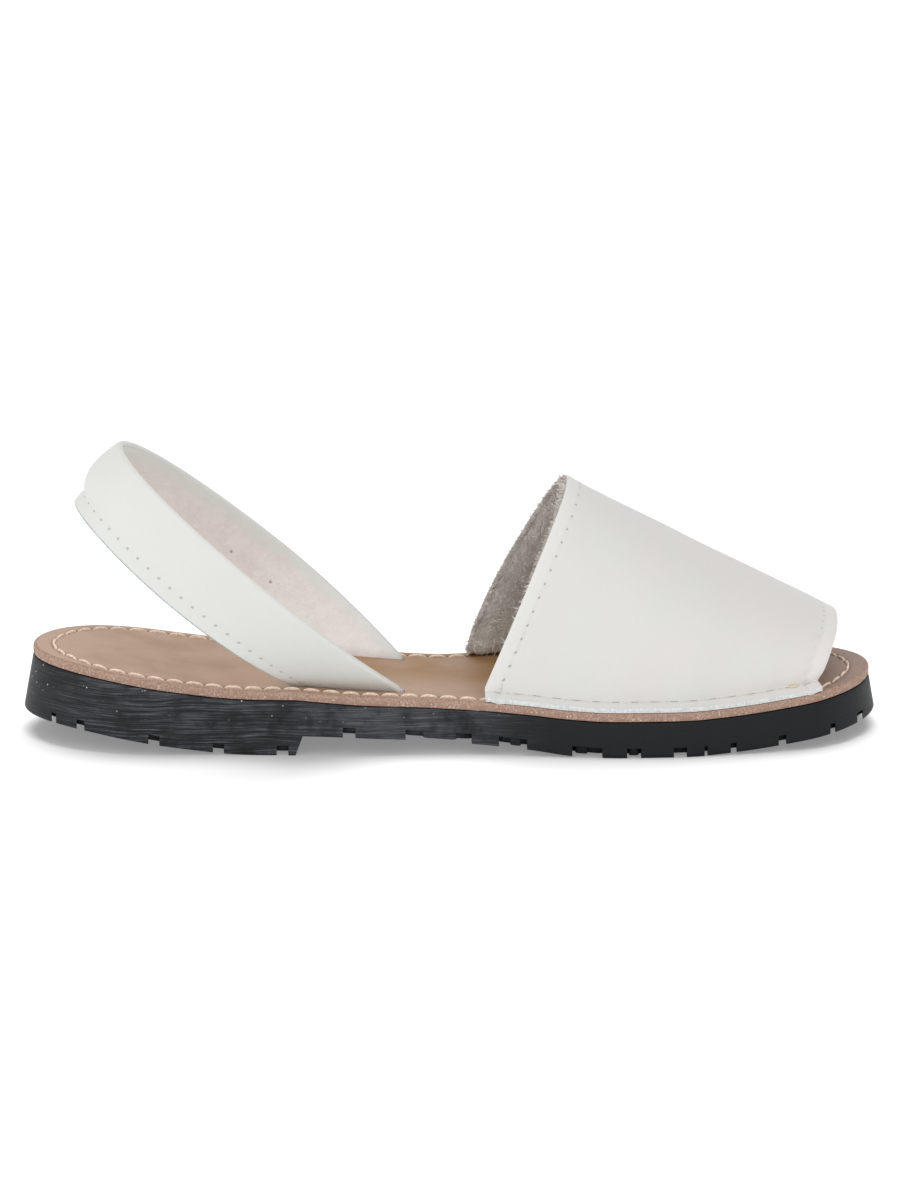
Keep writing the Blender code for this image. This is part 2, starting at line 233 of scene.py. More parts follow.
def sole_outline():
    """The insole's edge, evenly spaced: up the lateral side and back down the medial."""
    fine = 900
    start = SIDE_FLARE
    reach = SOLE_LENGTH - 2 * SIDE_FLARE
    xs = [start + reach * (1 - math.cos(math.pi * i / fine)) / 2 for i in range(fine + 1)]
    sides = []
    for side in (-1, 1):
        line = [Vector((x, side * half_width(x, side), 0.0)) for x in xs]
        sides.append(spaced(line, SIDE_CELLS))
    return sides[0] + sides[1][-2::-1]


EDGE = sole_outline()
ROUND_CELLS = 2 * SIDE_CELLS


def edge_normal(i):
    ahead = EDGE[(i + 1) % ROUND_CELLS]
    behind = EDGE[(i - 1) % ROUND_CELLS]
    run = (ahead - behind).normalized()
    return Vector((run.y, -run.x, 0.0))


NORMALS = [edge_normal(i) for i in range(ROUND_CELLS + 1)]


def sole_point(i, inset, share=0.0):
    """A place on the sole: inset from the edge, then a share of the way to the middle."""
    near_heel = min(i, ROUND_CELLS - i) / SIDE_CELLS
    middle = Vector((mix(MIDDLE_BACK, MIDDLE_FRONT, near_heel) * SOLE_LENGTH, 0.0, 0.0))
    return (EDGE[i] - NORMALS[i] * inset).lerp(middle, share)


# Rounded studs inside the wider cuts: start, end and distance in from the insole's edge
STUDS = [(0.463, 0.504, 0.0), (0.566, 0.579, 0.0), (0.6425, 0.657, 0.0005),
         (0.7055, 0.7175, 0.0002)]
STUDS += [(row.start - 0.002, row.end + 0.002, 0.0022) for row in TREAD]
STUD_DEPTH = 0.0050


def in_row_frame(mesh):
    """Moves a mesh modelled from the heel's back to the origin under the heel."""
    bmesh.ops.translate(mesh, verts=mesh.verts, vec=(-HEEL_REST * SOLE_LENGTH, 0.0, 0.0))


def finished(name, mesh, looks, smooth_below=40.0):
    """An object from a bmesh, with its materials and smooth shading."""
    data = bpy.data.meshes.new(name)
    mesh.to_mesh(data)
    mesh.free()
    data.shade_smooth()
    data.set_sharp_from_angle(angle=math.radians(smooth_below))
    for look in looks:
        data.materials.append(look)
    made = bpy.data.objects.new(name, data)
    bpy.context.scene.collection.objects.link(made)
    return made


def plate(columns, profile, note=None):
    """A closed plate with the sole's outline. Each row of the profile gives its inset,
    its share of the way to the middle and its height at x, from the top round to the
    bottom. note(i, row) gives each point's marks."""
    mesh = bmesh.new()
    rows = len(profile) - 1
    bmesh.ops.create_grid(mesh, x_segments=columns, y_segments=rows, size=0.5)
    marks = [mesh.verts.layers.float.new(mark) for mark in ("seam_gap", "seam_run")]
    for vert in mesh.verts:
        i = round((vert.co.x + 0.5) * columns)
        row = round((vert.co.y + 0.5) * rows)
        inset, share, height = profile[row]
        place = sole_point(i, inset(i) if callable(inset) else inset, share)
        vert.co = (place.x, place.y, height(place.x))
        if note:
            vert[marks[0]], vert[marks[1]] = note(i, row)
    return mesh


def closed(mesh):
    """Welds a mapped grid's meeting edges and points its faces outwards."""
    bmesh.ops.remove_doubles(mesh, verts=mesh.verts, dist=1e-6)
    bmesh.ops.recalc_face_normals(mesh, faces=mesh.faces)


def unit_form(mesh, length_cuts, lengthwise):
    """Cuts a unit cube's or cylinder's long edges, and keeps the form as mesh data."""
    edges = [edge for edge in mesh.edges
             if abs(edge.verts[0].co[lengthwise] - edge.verts[1].co[lengthwise]) > 0.5]
    if length_cuts:
        bmesh.ops.subdivide_edges(mesh, edges=edges, cuts=length_cuts)
    form = bpy.data.meshes.new("unit form")
    mesh.to_mesh(form)
    mesh.free()
    return form


def append(mesh, form):
    """Adds a copy of a form to a mesh and gives its points."""
    before = len(mesh.verts)
    mesh.from_mesh(form)
    mesh.verts.ensure_lookup_table()
    return mesh.verts[before:]


def unit_bar(cuts):
    cube = bmesh.new()
    bmesh.ops.create_cube(cube, size=1.0)
    return unit_form(cube, cuts, 0)


def bar(mesh, start, end, low, high, top, cuts=0):
    """A cutter from start to end along the sole, between two lines, up to a height."""
    below = -0.004
    for vert in append(mesh, unit_bar(cuts)):
        x = mix(start, end, vert.co.x + 0.5)
        y = high(x) if vert.co.y > 0 else low(x)
        vert.co = (x, y, top(x) if vert.co.z > 0 else below)


def cut_with(target, cutters):
    """Cuts each cutter's solid out of the target and leaves the result in its mesh."""
    helpers = []
    for number, mesh in enumerate(cutters):
        bmesh.ops.recalc_face_normals(mesh, faces=mesh.faces)
        helper = finished(f"{target.name}_cutter_{number}", mesh, [])
        cut = target.modifiers.new(helper.name, "BOOLEAN")
        cut.operation = "DIFFERENCE"
        cut.solver = "EXACT"
        cut.object = helper
        helpers.append(helper)
    bpy.context.view_layer.update()
    graph = bpy.context.evaluated_depsgraph_get()
    result = bpy.data.meshes.new_from_object(target.evaluated_get(graph))
    target.modifiers.clear()
    target.data = result
    for helper in helpers:
        bpy.data.objects.remove(helper)


def add(tree, kind, settings=(), **sockets):
    """A shader node; a socket given another node's output is linked to it."""
    made = tree.nodes.new("ShaderNode" + kind)
    for name, value in dict(settings).items():
        setattr(made, name, value)
    for name, value in sockets.items():
        socket = made.inputs[name.replace("_", " ")]
        if isinstance(value, bpy.types.NodeSocket):
            tree.links.new(value, socket)
        else:
            socket.default_value = value
    return made


def maths(tree, operation, *values):
    made = tree.nodes.new("ShaderNodeMath")
    made.operation = operation
    for socket, value in zip(made.inputs, values):
        if isinstance(value, bpy.types.NodeSocket):
            tree.links.new(value, socket)
        else:
            socket.default_value = value
    return made.outputs[0]


def fade(tree, value, low, high):
    """0 at low, 1 at high, smoothly between."""
    made = add(tree, "MapRange", {"interpolation_type": "SMOOTHSTEP"}, Value=value)
    made.inputs["From Min"].default_value = low
    made.inputs["From Max"].default_value = high
    return made.outputs["Result"]


def tint(tree, share, a, b):
    """Colour a at share 0, colour b at share 1."""
    made = tree.nodes.new("ShaderNodeMix")
    made.data_type = "RGBA"
    for socket, value in ((made.inputs[0], share), (made.inputs[6], a), (made.inputs[7], b)):
        if isinstance(value, bpy.types.NodeSocket):
            tree.links.new(value, socket)
        elif socket.type == "RGBA":
            socket.default_value = (*value, 1.0)
        else:
            socket.default_value = value
    return made.outputs[2]


def new_finish(name, roughness, specular):
    """A material with its shader, its node tree and the object's own coordinates."""
    made = bpy.data.materials.new(name)
    made.use_nodes = True
    tree = made.node_tree
    shader = tree.nodes["Principled BSDF"]
    shader.inputs["Roughness"].default_value = roughness
    shader.inputs["Specular IOR Level"].default_value = specular
    place = add(tree, "TexCoord").outputs["Object"]
    return made, tree, shader, place


def raise_by(tree, shader, height, depth, strength=1.0):
    """Bump from a height of 0 to 1, depth metres high."""
    bump = add(tree, "Bump", Height=height, Distance=depth, Strength=strength)
    tree.links.new(bump.outputs["Normal"], shader.inputs["Normal"])


def rubber_finish():
    made, tree, shader, place = new_finish("black rubber", 0.5, 0.24)
    drift = add(tree, "TexNoise", Vector=place, Scale=45.0, Detail=2.0)
    moved = add(tree, "VectorMath", {"operation": "MULTIPLY_ADD"})
    tree.links.new(drift.outputs["Color"], moved.inputs[0])
    moved.inputs[1].default_value = (0.0, 0.0, 0.0024)
    tree.links.new(place, moved.inputs[2])
    stretched = add(tree, "Mapping", Vector=moved.outputs[0])
    stretched.inputs["Scale"].default_value = (55.0, 55.0, 2500.0)
    lines = add(tree, "TexNoise", Vector=stretched.outputs[0], Scale=1.0, Detail=4.0,
                Roughness=0.75)
    coarse = add(tree, "TexNoise", Vector=place, Scale=130.0, Detail=6.0, Roughness=0.65)
    fine = add(tree, "TexNoise", Vector=place, Scale=2600.0, Detail=3.0)
    parts = add(tree, "SeparateXYZ", Vector=place)
    ground = fade(tree, parts.outputs["X"], 0.085, 0.050)
    scored = maths(tree, "MULTIPLY", fade(tree, lines.outputs["Fac"], 0.42, 0.74), ground)
    scored = maths(tree, "MULTIPLY", scored, fade(tree, coarse.outputs["Fac"], 0.25, 0.60))
    dull = tint(tree, fade(tree, coarse.outputs["Fac"], 0.3, 0.7), RUBBER_DEEP, RUBBER)
    waist = maths(tree, "MULTIPLY", fade(tree, parts.outputs["X"], -0.005, 0.022),
                  fade(tree, parts.outputs["X"], 0.078, 0.050))
    worn = maths(tree, "MULTIPLY", waist, fade(tree, coarse.outputs["Fac"], 0.30, 0.66))
    lined = tint(tree, scored, tint(tree, worn, dull, RUBBER_WORN), RUBBER_SCORED)
    specks = add(tree, "TexVoronoi", Vector=place, Scale=560.0)
    size = fade(tree, specks.outputs["Distance"], 0.19, 0.07)
    sparse = add(tree, "TexNoise", Vector=place, Scale=500.0)
    few = fade(tree, sparse.outputs["Fac"], 0.57, 0.63)
    high = fade(tree, parts.outputs["Z"], 0.008, 0.017)
    dusty = maths(tree, "MULTIPLY", maths(tree, "MULTIPLY", size, few), high)
    # Painted shade: the rubber is darkened towards the back of the heel, where the side light
    # falls on it.
    heel_back_shade = maths(tree, "MULTIPLY", fade(tree, parts.outputs["X"], -0.050, -0.070), 0.6)
    lined = tint(tree, heel_back_shade, lined, RUBBER_DEEP)
    tree.links.new(tint(tree, dusty, lined, RUBBER_DUST), shader.inputs["Base Color"])
    rough = maths(tree, "MULTIPLY_ADD", coarse.outputs["Fac"], 0.22, 0.42)
    tree.links.new(rough, shader.inputs["Roughness"])
    relief = maths(tree, "MULTIPLY_ADD", fine.outputs["Fac"], 0.25, lines.outputs["Fac"])
    raise_by(tree, shader, relief, 0.00016, 0.9)
    return made


def base(x):
    """The underside before the waist is cut out."""
    return 0.0 if BREAST < x / SOLE_LENGTH < FORE_FLAT_START else lift(x)


def heel_flare(i):
    """How far the sole's side leans out at its foot, more round the back of the heel."""
    return SIDE_FLARE + HEEL_FLARE * ease(1 - EDGE[i].x / 0.022)


def unit_stud():
    block = bmesh.new()
    bmesh.ops.create_cube(block, size=1.0)
    bmesh.ops.bevel(block, geom=block.edges[:], offset=0.16, offset_type="OFFSET", segments=2,
                    profile=0.5, affect="EDGES", material=-1)
    return unit_form(block, 0, 0)


def add_studs(made):
    """Rounded studs of the tread, which stand back from the edge inside its wider cuts."""
    mesh = bmesh.new()
    mesh.from_mesh(made.data)
    first = len(mesh.faces)
    form = unit_stud()
    for start, end, inset in STUDS:
        for side in (-1, 1):
            for vert in append(mesh, form):
                x = mix(start, end, vert.co.x + 0.5) * SOLE_LENGTH
                far = half_width(x, side) - inset - (0.5 - vert.co.y) * STUD_DEPTH
                low = lift(x) + 0.0003
                vert.co = (x, side * far, mix(low, lift(x) + TREAD_DEPTH + 0.0006,
                                              vert.co.z + 0.5))
    mesh.faces.ensure_lookup_table()
    mesh.normal_update()
    bmesh.ops.recalc_face_normals(mesh, faces=mesh.faces[first:])
    mesh.to_mesh(made.data)
    mesh.free()


def outsole():
    corner = 0.0005
    profile = [(0.001, share, sole_top) for share in (1.0, 0.7, 0.4, 0.15, 0.0)]
    profile.append((0.0002, 0.0, lambda x: sole_top(x) - 0.00005))
    steps = 10
    for i in range(steps + 1):
        down = i / steps
        profile.append((lambda i, down=down: -heel_flare(i) * down, 0.0,
                        lambda x, down=down: mix(sole_top(x) - 0.0003, base(x) + corner, down)))
    profile.append((lambda i: corner * 0.3 - heel_flare(i), 0.0,
                    lambda x: base(x) + corner * 0.3))
    profile += [(lambda i: corner - heel_flare(i), share, base)
                for share in (0.0, 0.15, 0.4, 0.7, 1.0)]
    mesh = plate(ROUND_CELLS, profile)
    closed(mesh)
    made = finished("outsole_rubber", mesh, [rubber_finish()])
    wide = BALL_WIDTH
    across = bmesh.new()
    bar(across, BREAST * SOLE_LENGTH, FORE_FLAT_START * SOLE_LENGTH,
        lambda x: -wide, lambda x: wide, lift, cuts=40)
    cuts = bmesh.new()
    for row in TREAD:
        ends = (row.start * SOLE_LENGTH, row.end * SOLE_LENGTH)
        sides = [(lambda x: -wide, lambda x: wide)]
        if row.kind == "bite":
            sides = [
                (lambda x: -wide,
                 lambda x: -max(BITE_REACH, half_width(x, -1) - BITE_REACH)),
                (lambda x: max(BITE_REACH, half_width(x, 1) - BITE_REACH),
                 lambda x: wide),
            ]
        for low, high in sides:
            bar(cuts, *ends, low, high, lambda x: lift(x) + TREAD_DEPTH)
    channels = bmesh.new()
    for start, end in ((0.060, 0.290), (0.380, 0.940)):
        for side in (-1, 1):
            bar(channels, start * SOLE_LENGTH, end * SOLE_LENGTH,
                lambda x: side * 0.42 * half_width(x, side) - CHANNEL_WIDTH / 2,
                lambda x: side * 0.42 * half_width(x, side) + CHANNEL_WIDTH / 2,
                lambda x: lift(x) + CHANNEL_DEPTH, cuts=24)
    cut_with(made, [across, cuts, channels])
    add_studs(made)
    made.data.transform(frame_shift())
    made.data.shade_smooth()
    made.data.set_sharp_from_angle(angle=math.radians(35.0))
    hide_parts("outsole")
    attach(made, "root")


def frame_shift():
    """The move from the heel's back to the origin under the heel."""
    return Matrix.Translation((-HEEL_REST * SOLE_LENGTH, 0.0, 0.0))


outsole()

# Insole: one layer of tan vegetable-tanned leather over the whole rubber, its edge
# ground flush and burnished. The heel strap's feet go down through two slits in it.
INSOLE_WALL = 0.0027
GAP = 0.0003
SLIT_GAP = 0.00012
STRAP_WALL = 0.0022
STRAP_INSET = 0.0080
STRAP_RISE = 0.0003
STRAP_FOOT_REAR = 0.310
STRAP_FOOT_FRONT = 0.445
SEAM_SIDE_INSET = 0.0036
SEAM_TIP_INSET = 0.0060
SEAM_SINK = 0.00035
SEAM_WIDTH = 0.0008
INSOLE_STITCHES = 46
HEEL_LEATHER = colour(178, 147, 124)
TOE_LEATHER = colour(146, 121, 108)
BURNISH = colour(148, 108, 54)
RAW_EDGE = colour(144, 116, 101)
RAW_EDGE_LIGHT = colour(170, 144, 129)
EDGE_RED = colour(148, 119, 106)
EDGE_FLECK = colour(212, 194, 178)


def insole_top(x):
    return sole_top(x) + GAP + INSOLE_WALL


def seam_inset(i):
    """How far the stitches run inside the insole's edge."""
    share = EDGE[i].x / SOLE_LENGTH
    near_tip = max(1 - ease(share / 0.10), ease((share - 0.925) / 0.065))
    return mix(SEAM_SIDE_INSET, SEAM_TIP_INSET, near_tip)


def seam_line(side):
    """The stitches' path on the insole, from the heel's back to the toe's tip."""
    order = range(SIDE_CELLS + 1) if side < 0 else range(ROUND_CELLS, SIDE_CELLS - 1, -1)
    line = []
    for i in order:
        place = sole_point(i, seam_inset(i))
        line.append(Vector((place.x, place.y, insole_top(place.x))))
    return line


def seam_run():
    """Stitches counted from the heel's back, at each point of the outline."""
    counts = {}
    for side in (-1, 1):
        run = walk(seam_line(side))
        for k, far in enumerate(run):
            counts[k if side < 0 else ROUND_CELLS - k] = far / run[-1] * INSOLE_STITCHES
    return counts


def grain_group():
    """Pores and fine creases of smooth leather: height and tone, from 0 to 1."""
    group = bpy.data.node_groups.new("leather grain", "ShaderNodeTree")
    group.interface.new_socket(name="Place", in_out="INPUT", socket_type="NodeSocketVector")
    group.interface.new_socket(name="Pores", in_out="INPUT", socket_type="NodeSocketFloat")
    group.interface.new_socket(name="Height", in_out="OUTPUT", socket_type="NodeSocketFloat")
    group.interface.new_socket(name="Tone", in_out="OUTPUT", socket_type="NodeSocketFloat")
    given = group.nodes.new("NodeGroupInput")
    out = group.nodes.new("NodeGroupOutput")
    place = given.outputs["Place"]
    warp = add(group, "TexNoise", Vector=place, Scale=420.0, Detail=2.0)
    moved = add(group, "VectorMath", {"operation": "MULTIPLY_ADD"})
    group.links.new(warp.outputs["Color"], moved.inputs[0])
    moved.inputs[1].default_value = (0.0007, 0.0007, 0.0007)
    group.links.new(place, moved.inputs[2])
    cells = add(group, "TexVoronoi", {"feature": "DISTANCE_TO_EDGE"},
                Vector=moved.outputs[0], Scale=given.outputs["Pores"])
    pebble = fade(group, cells.outputs["Distance"], 0.0, 0.35)
    broad = add(group, "TexNoise", Vector=place, Scale=60.0, Detail=4.0)
    fine = add(group, "TexNoise", Vector=place, Scale=3000.0, Detail=2.0)
    height = maths(group, "MULTIPLY_ADD", fine.outputs["Fac"], 0.35, pebble)
    group.links.new(height, out.inputs["Height"])
    group.links.new(broad.outputs["Fac"], out.inputs["Tone"])
    return group


def holes_group():
    """Needle holes: a spot where a seam's run passes each whole number, drawn out
    along the seam by Half to either side."""
    group = bpy.data.node_groups.new("needle holes", "ShaderNodeTree")
    for name in ("Gap", "Run", "Pitch", "Radius", "Half"):
        group.interface.new_socket(name=name, in_out="INPUT", socket_type="NodeSocketFloat")
    group.interface.new_socket(name="Hole", in_out="OUTPUT", socket_type="NodeSocketFloat")
    given = group.nodes.new("NodeGroupInput")
    out = group.nodes.new("NodeGroupOutput")
    off = maths(group, "SUBTRACT", given.outputs["Run"],
                maths(group, "ROUND", given.outputs["Run"]))
    off = maths(group, "MULTIPLY", maths(group, "ABSOLUTE", off), given.outputs["Pitch"])
    off = maths(group, "MAXIMUM", maths(group, "SUBTRACT", off, given.outputs["Half"]), 0.0)
    far = maths(group, "SQRT", maths(
        group, "ADD", maths(group, "MULTIPLY", off, off),
        maths(group, "MULTIPLY", given.outputs["Gap"], given.outputs["Gap"])))
    share = maths(group, "DIVIDE", far, given.outputs["Radius"])
    group.links.new(fade(group, share, 1.25, 0.55), out.inputs["Hole"])
    return group


GRAIN = grain_group()
HOLES = holes_group()


def use(tree, group, **sockets):
    """A copy of a node group, with its inputs set or linked."""
    made = tree.nodes.new("ShaderNodeGroup")
    made.node_tree = group
    for name, value in sockets.items():
        if isinstance(value, bpy.types.NodeSocket):
            tree.links.new(value, made.inputs[name])
        else:
            made.inputs[name].default_value = value
    return made


def mark(tree, name):
    return add(tree, "Attribute", {"attribute_name": name}).outputs["Fac"]


def insole_finish():
    made, tree, shader, place = new_finish("tan leather", 0.5, 0.35)
    grain = use(tree, GRAIN, Place=place, Pores=900.0)
    parts = add(tree, "SeparateXYZ", Vector=place)
    x = parts.outputs["X"]
    cloudy = add(tree, "TexNoise", Vector=place, Scale=28.0, Detail=5.0).outputs["Fac"]
    forward = fade(tree, maths(tree, "MULTIPLY_ADD", cloudy, 0.02, x), 0.105, 0.165)
    plain = tint(tree, forward, HEEL_LEATHER, TOE_LEATHER)
    patch = fade(tree, maths(tree, "MULTIPLY_ADD", cloudy, 0.03, x), 0.018, 0.046)
    patch = maths(tree, "MULTIPLY", patch, fade(tree, x, 0.115, 0.085))
    patch = maths(tree, "MULTIPLY", patch, fade(tree, parts.outputs["Y"], -0.022, 0.004))
    plain = tint(tree, maths(tree, "MULTIPLY", patch, 0.90), plain, BURNISH)
    soiled = tint(tree, fade(tree, grain.outputs["Tone"], 0.40, 0.70), plain,
                  colour(166, 136, 114))
    gap = mark(tree, "seam_gap")
    groove = fade(tree, maths(tree, "ABSOLUTE", gap), 0.0012, 0.0002)
    dark = tint(tree, maths(tree, "MULTIPLY", groove, 0.35), soiled, colour(112, 80, 62))
    hole = use(tree, HOLES, Gap=gap, Run=mark(tree, "seam_run"), Pitch=0.0059, Radius=0.00045)
    tree.links.new(tint(tree, maths(tree, "MULTIPLY", hole.outputs["Hole"], 0.8), dark,
                        colour(96, 68, 54)), shader.inputs["Base Color"])
    tree.links.new(maths(tree, "MULTIPLY_ADD", grain.outputs["Tone"], 0.3, 0.36),
                   shader.inputs["Roughness"])
    relief = maths(tree, "SUBTRACT", grain.outputs["Height"],
                   maths(tree, "MULTIPLY", hole.outputs["Hole"], 4.0))
    raise_by(tree, shader, relief, 0.00006, 0.6)
    return made


def raw_edge_finish():
    made, tree, shader, place = new_finish("ground leather edge", 0.75, 0.2)
    flat = add(tree, "Mapping", Vector=place)
    flat.inputs["Scale"].default_value = (1.0, 1.0, 0.7)
    fibre = add(tree, "TexNoise", Vector=flat.outputs[0], Scale=2200.0, Detail=4.0)
    clumps = add(tree, "TexNoise", Vector=flat.outputs[0], Scale=260.0, Detail=4.0)
    down = mark(tree, "seam_run")
    lower = maths(tree, "MULTIPLY", fade(tree, down, 0.25, 0.8),
                  fade(tree, clumps.outputs["Fac"], 0.38, 0.60))
    plain = tint(tree, fade(tree, fibre.outputs["Fac"], 0.38, 0.62), RAW_EDGE,
                 RAW_EDGE_LIGHT)
    worn = tint(tree, lower, plain, EDGE_RED)
    flecks = maths(tree, "MULTIPLY", fade(tree, fibre.outputs["Fac"], 0.61, 0.68),
                   fade(tree, down, 0.25, 0.7))
    tree.links.new(tint(tree, flecks, worn, EDGE_FLECK), shader.inputs["Base Color"])
    raise_by(tree, shader, fibre.outputs["Fac"], 0.0003, 0.7)
    return made


def under_vamp(x):
    """1 where the vamp's flange holds the insole's edge flat, 0 away from it."""
    return ease((x / SOLE_LENGTH - 0.53) / 0.02) * ease((0.935 - x / SOLE_LENGTH) / 0.02)


def insole():
    inner = 0.0085
    round_edge = [(0.0010, 0.0), (0.0006, 0.06), (0.00032, 0.20), (0.00012, 0.42),
                  (0.0, 0.75)]
    flat_side = [(0.0, 1.3), (0.0, 1.9), (0.00004, 2.45), (0.0002, 2.7)]
    profile = []
    gaps = []
    for share in (1.0, 0.85, 0.7, 0.55, 0.4, 0.27, 0.15, 0.06):
        profile.append((inner, share, insole_top))
        gaps.append(None)
    fine = 26
    for k in range(fine + 1):
        inset = mix(inner, round_edge[0][0], k / fine)
        profile.append((inset, 0.0, insole_top))
        gaps.append(inset)
    top_rows = len(profile)
    for inset, down in round_edge[1:] + flat_side:
        profile.append((inset, 0.0, lambda x, down=down: insole_top(x) - 0.001 * (
            down * mix(1.0, 0.3, under_vamp(x)) if down < 1 else down)))
        gaps.append(-down)
    for share in (0.3, 1.0):
        profile.append((0.0002, share, lambda x: insole_top(x) - INSOLE_WALL))
        gaps.append(-2.7)
    runs = seam_run()

    def note(i, row):
        if gaps[row] is None:
            return 0.01, runs[i]
        if gaps[row] < 0:
            return 0.01, -gaps[row] / 2.7
        return gaps[row] - seam_inset(i), runs[i]

    mesh = plate(ROUND_CELLS, profile, note)
    rows = len(profile) - 1
    gap_mark = mesh.verts.layers.float["seam_gap"]
    for vert in mesh.verts:
        vert.co.z -= SEAM_SINK * math.exp(-(vert[gap_mark] / SEAM_WIDTH) ** 2)
    mesh.faces.ensure_lookup_table()
    for number, face in enumerate(mesh.faces):
        face.material_index = 1 if number // ROUND_CELLS >= top_rows - 1 else 0
    closed(mesh)
    made = finished("insole_leather", mesh, [insole_finish(), raw_edge_finish()])
    slits = bmesh.new()
    for side in (-1, 1):
        rear = strap_foot(0.0, side)
        front = strap_foot(1.0, side)
        along = (front - rear).normalized()
        half = STRAP_WALL / 2 + SLIT_GAP
        for vert in bmesh.ops.create_cube(slits, size=1.0)["verts"]:
            ahead = vert.co.x > 0
            place = front + along * SLIT_GAP if ahead else rear - along * SLIT_GAP
            beside = Vector((-along.y, along.x, 0.0)) * (half if vert.co.y > 0 else -half)
            up = 0.004 if vert.co.z > 0 else -0.006
            vert.co = place + beside + Vector((0.0, 0.0, up))
    cut_with(made, [slits])
    made.data.transform(frame_shift())
    made.data.shade_smooth()
    made.data.set_sharp_from_angle(angle=math.radians(40.0))
    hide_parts("insole")
    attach(made, "root")


def edge_at(x, side, inset=0.0):
    """A point on the insole's edge at x, moved in along the edge's normal."""
    step = 0.0004
    rise = side * (half_width(x + step, side) - half_width(x - step, side))
    length = math.hypot(2 * step, rise)
    normal = Vector((side * -rise / length, side * 2 * step / length, 0.0))
    return Vector((x, side * half_width(x, side), 0.0)) - normal * inset


def strap_foot(across, side):
    """A strap foot's line on the insole: across is 0 at its rear end, 1 at its front."""
    rear = edge_at(STRAP_FOOT_REAR * SOLE_LENGTH, side, STRAP_INSET)
    front = edge_at(STRAP_FOOT_FRONT * SOLE_LENGTH, side, STRAP_INSET)
    place = rear.lerp(front, across)
    place.z = insole_top(place.x) + STRAP_RISE
    return place


insole()

# Insole stitches: thick waxed cream thread that holds insole and rubber together. Each
# stitch lies in a shallow groove and dips into a needle hole at both ends.
VAMP_REAR_LATERAL = 0.538
VAMP_REAR_MEDIAL = 0.520
VAMP_FRONT_LATERAL = 0.935
VAMP_FRONT_MEDIAL = 0.929
THREAD = 0.00095


def thread_finish(name, plain, shade):
    made, tree, shader, place = new_finish(name, 0.7, 0.25)
    twist = add(tree, "TexNoise", Vector=place, Scale=1800.0, Detail=4.0)
    tree.links.new(tint(tree, fade(tree, twist.outputs["Fac"], 0.35, 0.65), shade, plain),
                   shader.inputs["Base Color"])
    raise_by(tree, shader, twist.outputs["Fac"], 0.00012, 0.6)
    return made


def unit_stitch():
    rod = bmesh.new()
    bmesh.ops.create_cone(rod, cap_ends=True, segments=6, radius1=0.5, radius2=0.5, depth=1.0)
    return unit_form(rod, 6, 2)


STITCH = unit_stitch()


def sew(mesh, start, end, up, thick, proud, short=0.0006):
    """One stitch between two needle holes: it rises out of the leather, lies along it
    and dips back in."""
    run = end - start
    along = run.normalized()
    across = along.cross(up).normalized()
    for vert in append(mesh, STITCH):
        share = vert.co.z + 0.5
        bow = 1 - abs(2 * share - 1) ** 3
        slim = thick * (0.55 + 0.45 * bow)
        height = mix(-0.45 * thick, proud - thick / 2, bow)
        centre = start + along * mix(short, run.length - short, share) + up * height
        vert.co = centre + across * (vert.co.x * slim) + up * (vert.co.y * slim)


def insole_stitches():
    mesh = bmesh.new()
    for side in (-1, 1):
        holes = spaced(seam_line(side), INSOLE_STITCHES)
        rear = (VAMP_REAR_LATERAL if side < 0 else VAMP_REAR_MEDIAL) * SOLE_LENGTH
        front = (VAMP_FRONT_LATERAL if side < 0 else VAMP_FRONT_MEDIAL) * SOLE_LENGTH
        for a, b in zip(holes, holes[1:]):
            middle = (a.x + b.x) / 2
            if middle < rear + 0.001 or middle > front:
                sunk = Vector((0.0, 0.0, SEAM_SINK * 0.6))
                sew(mesh, a - sunk, b - sunk, Vector((0.0, 0.0, 1.0)), THREAD, 0.00075,
                    0.0002)
    in_row_frame(mesh)
    bmesh.ops.recalc_face_normals(mesh, faces=mesh.faces)
    look = thread_finish("cream thread", colour(240, 222, 206), colour(212, 188, 168))
    made = finished("insole_stitches", mesh, [look])
    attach(made, "root")


insole_stitches()

# Vamp: one piece of thick white leather, smooth outside and rough suede inside, arched
# over the forefoot. Its base turns out as a flange, sewn down along the sole's edge.
VAMP_WALL = 0.0024
FLANGE = 0.0055
FLANGE_RADIUS = 0.0034
INSTEP_HEIGHT = 0.0612
TOE_OPENING = 0.0135
RIDGE_DIP = 0.0022
CROWN_SHIFT = 0.0030
MEDIAL_LEAN = 1.20
THROAT_FULLNESS = 2.30
TOE_FULLNESS = 2.50
VAMP_REAR_CROWN = 0.634
VAMP_FRONT_CROWN = 0.9505
FLAT_CELLS = 4
CURL_CELLS = 8
ARCH_CELLS = 150
GIRTH = ARCH_CELLS + 2 * (FLAT_CELLS + CURL_CELLS)
LENGTH_CELLS = 112
EDGE_SEAM = 0.0038
EDGE_PITCH = 0.0045
RIM_WALL = 0.58
REST_GAP = 0.0001
RIM_PITCH = 0.0059
WHITE = colour(200, 200, 197)
WARM_WHITE = colour(204, 199, 196)
SUEDE = colour(252, 248, 241)
SUEDE_DARK = colour(222, 213, 200)
BARE_EDGE = colour(206, 199, 190)
BARE_EDGE_DARK = colour(148, 138, 128)
CUT_EDGE = colour(206, 208, 206)
CUT_EDGE_DARK = colour(184, 188, 187)
THROAT_EDGE = colour(216, 212, 205)


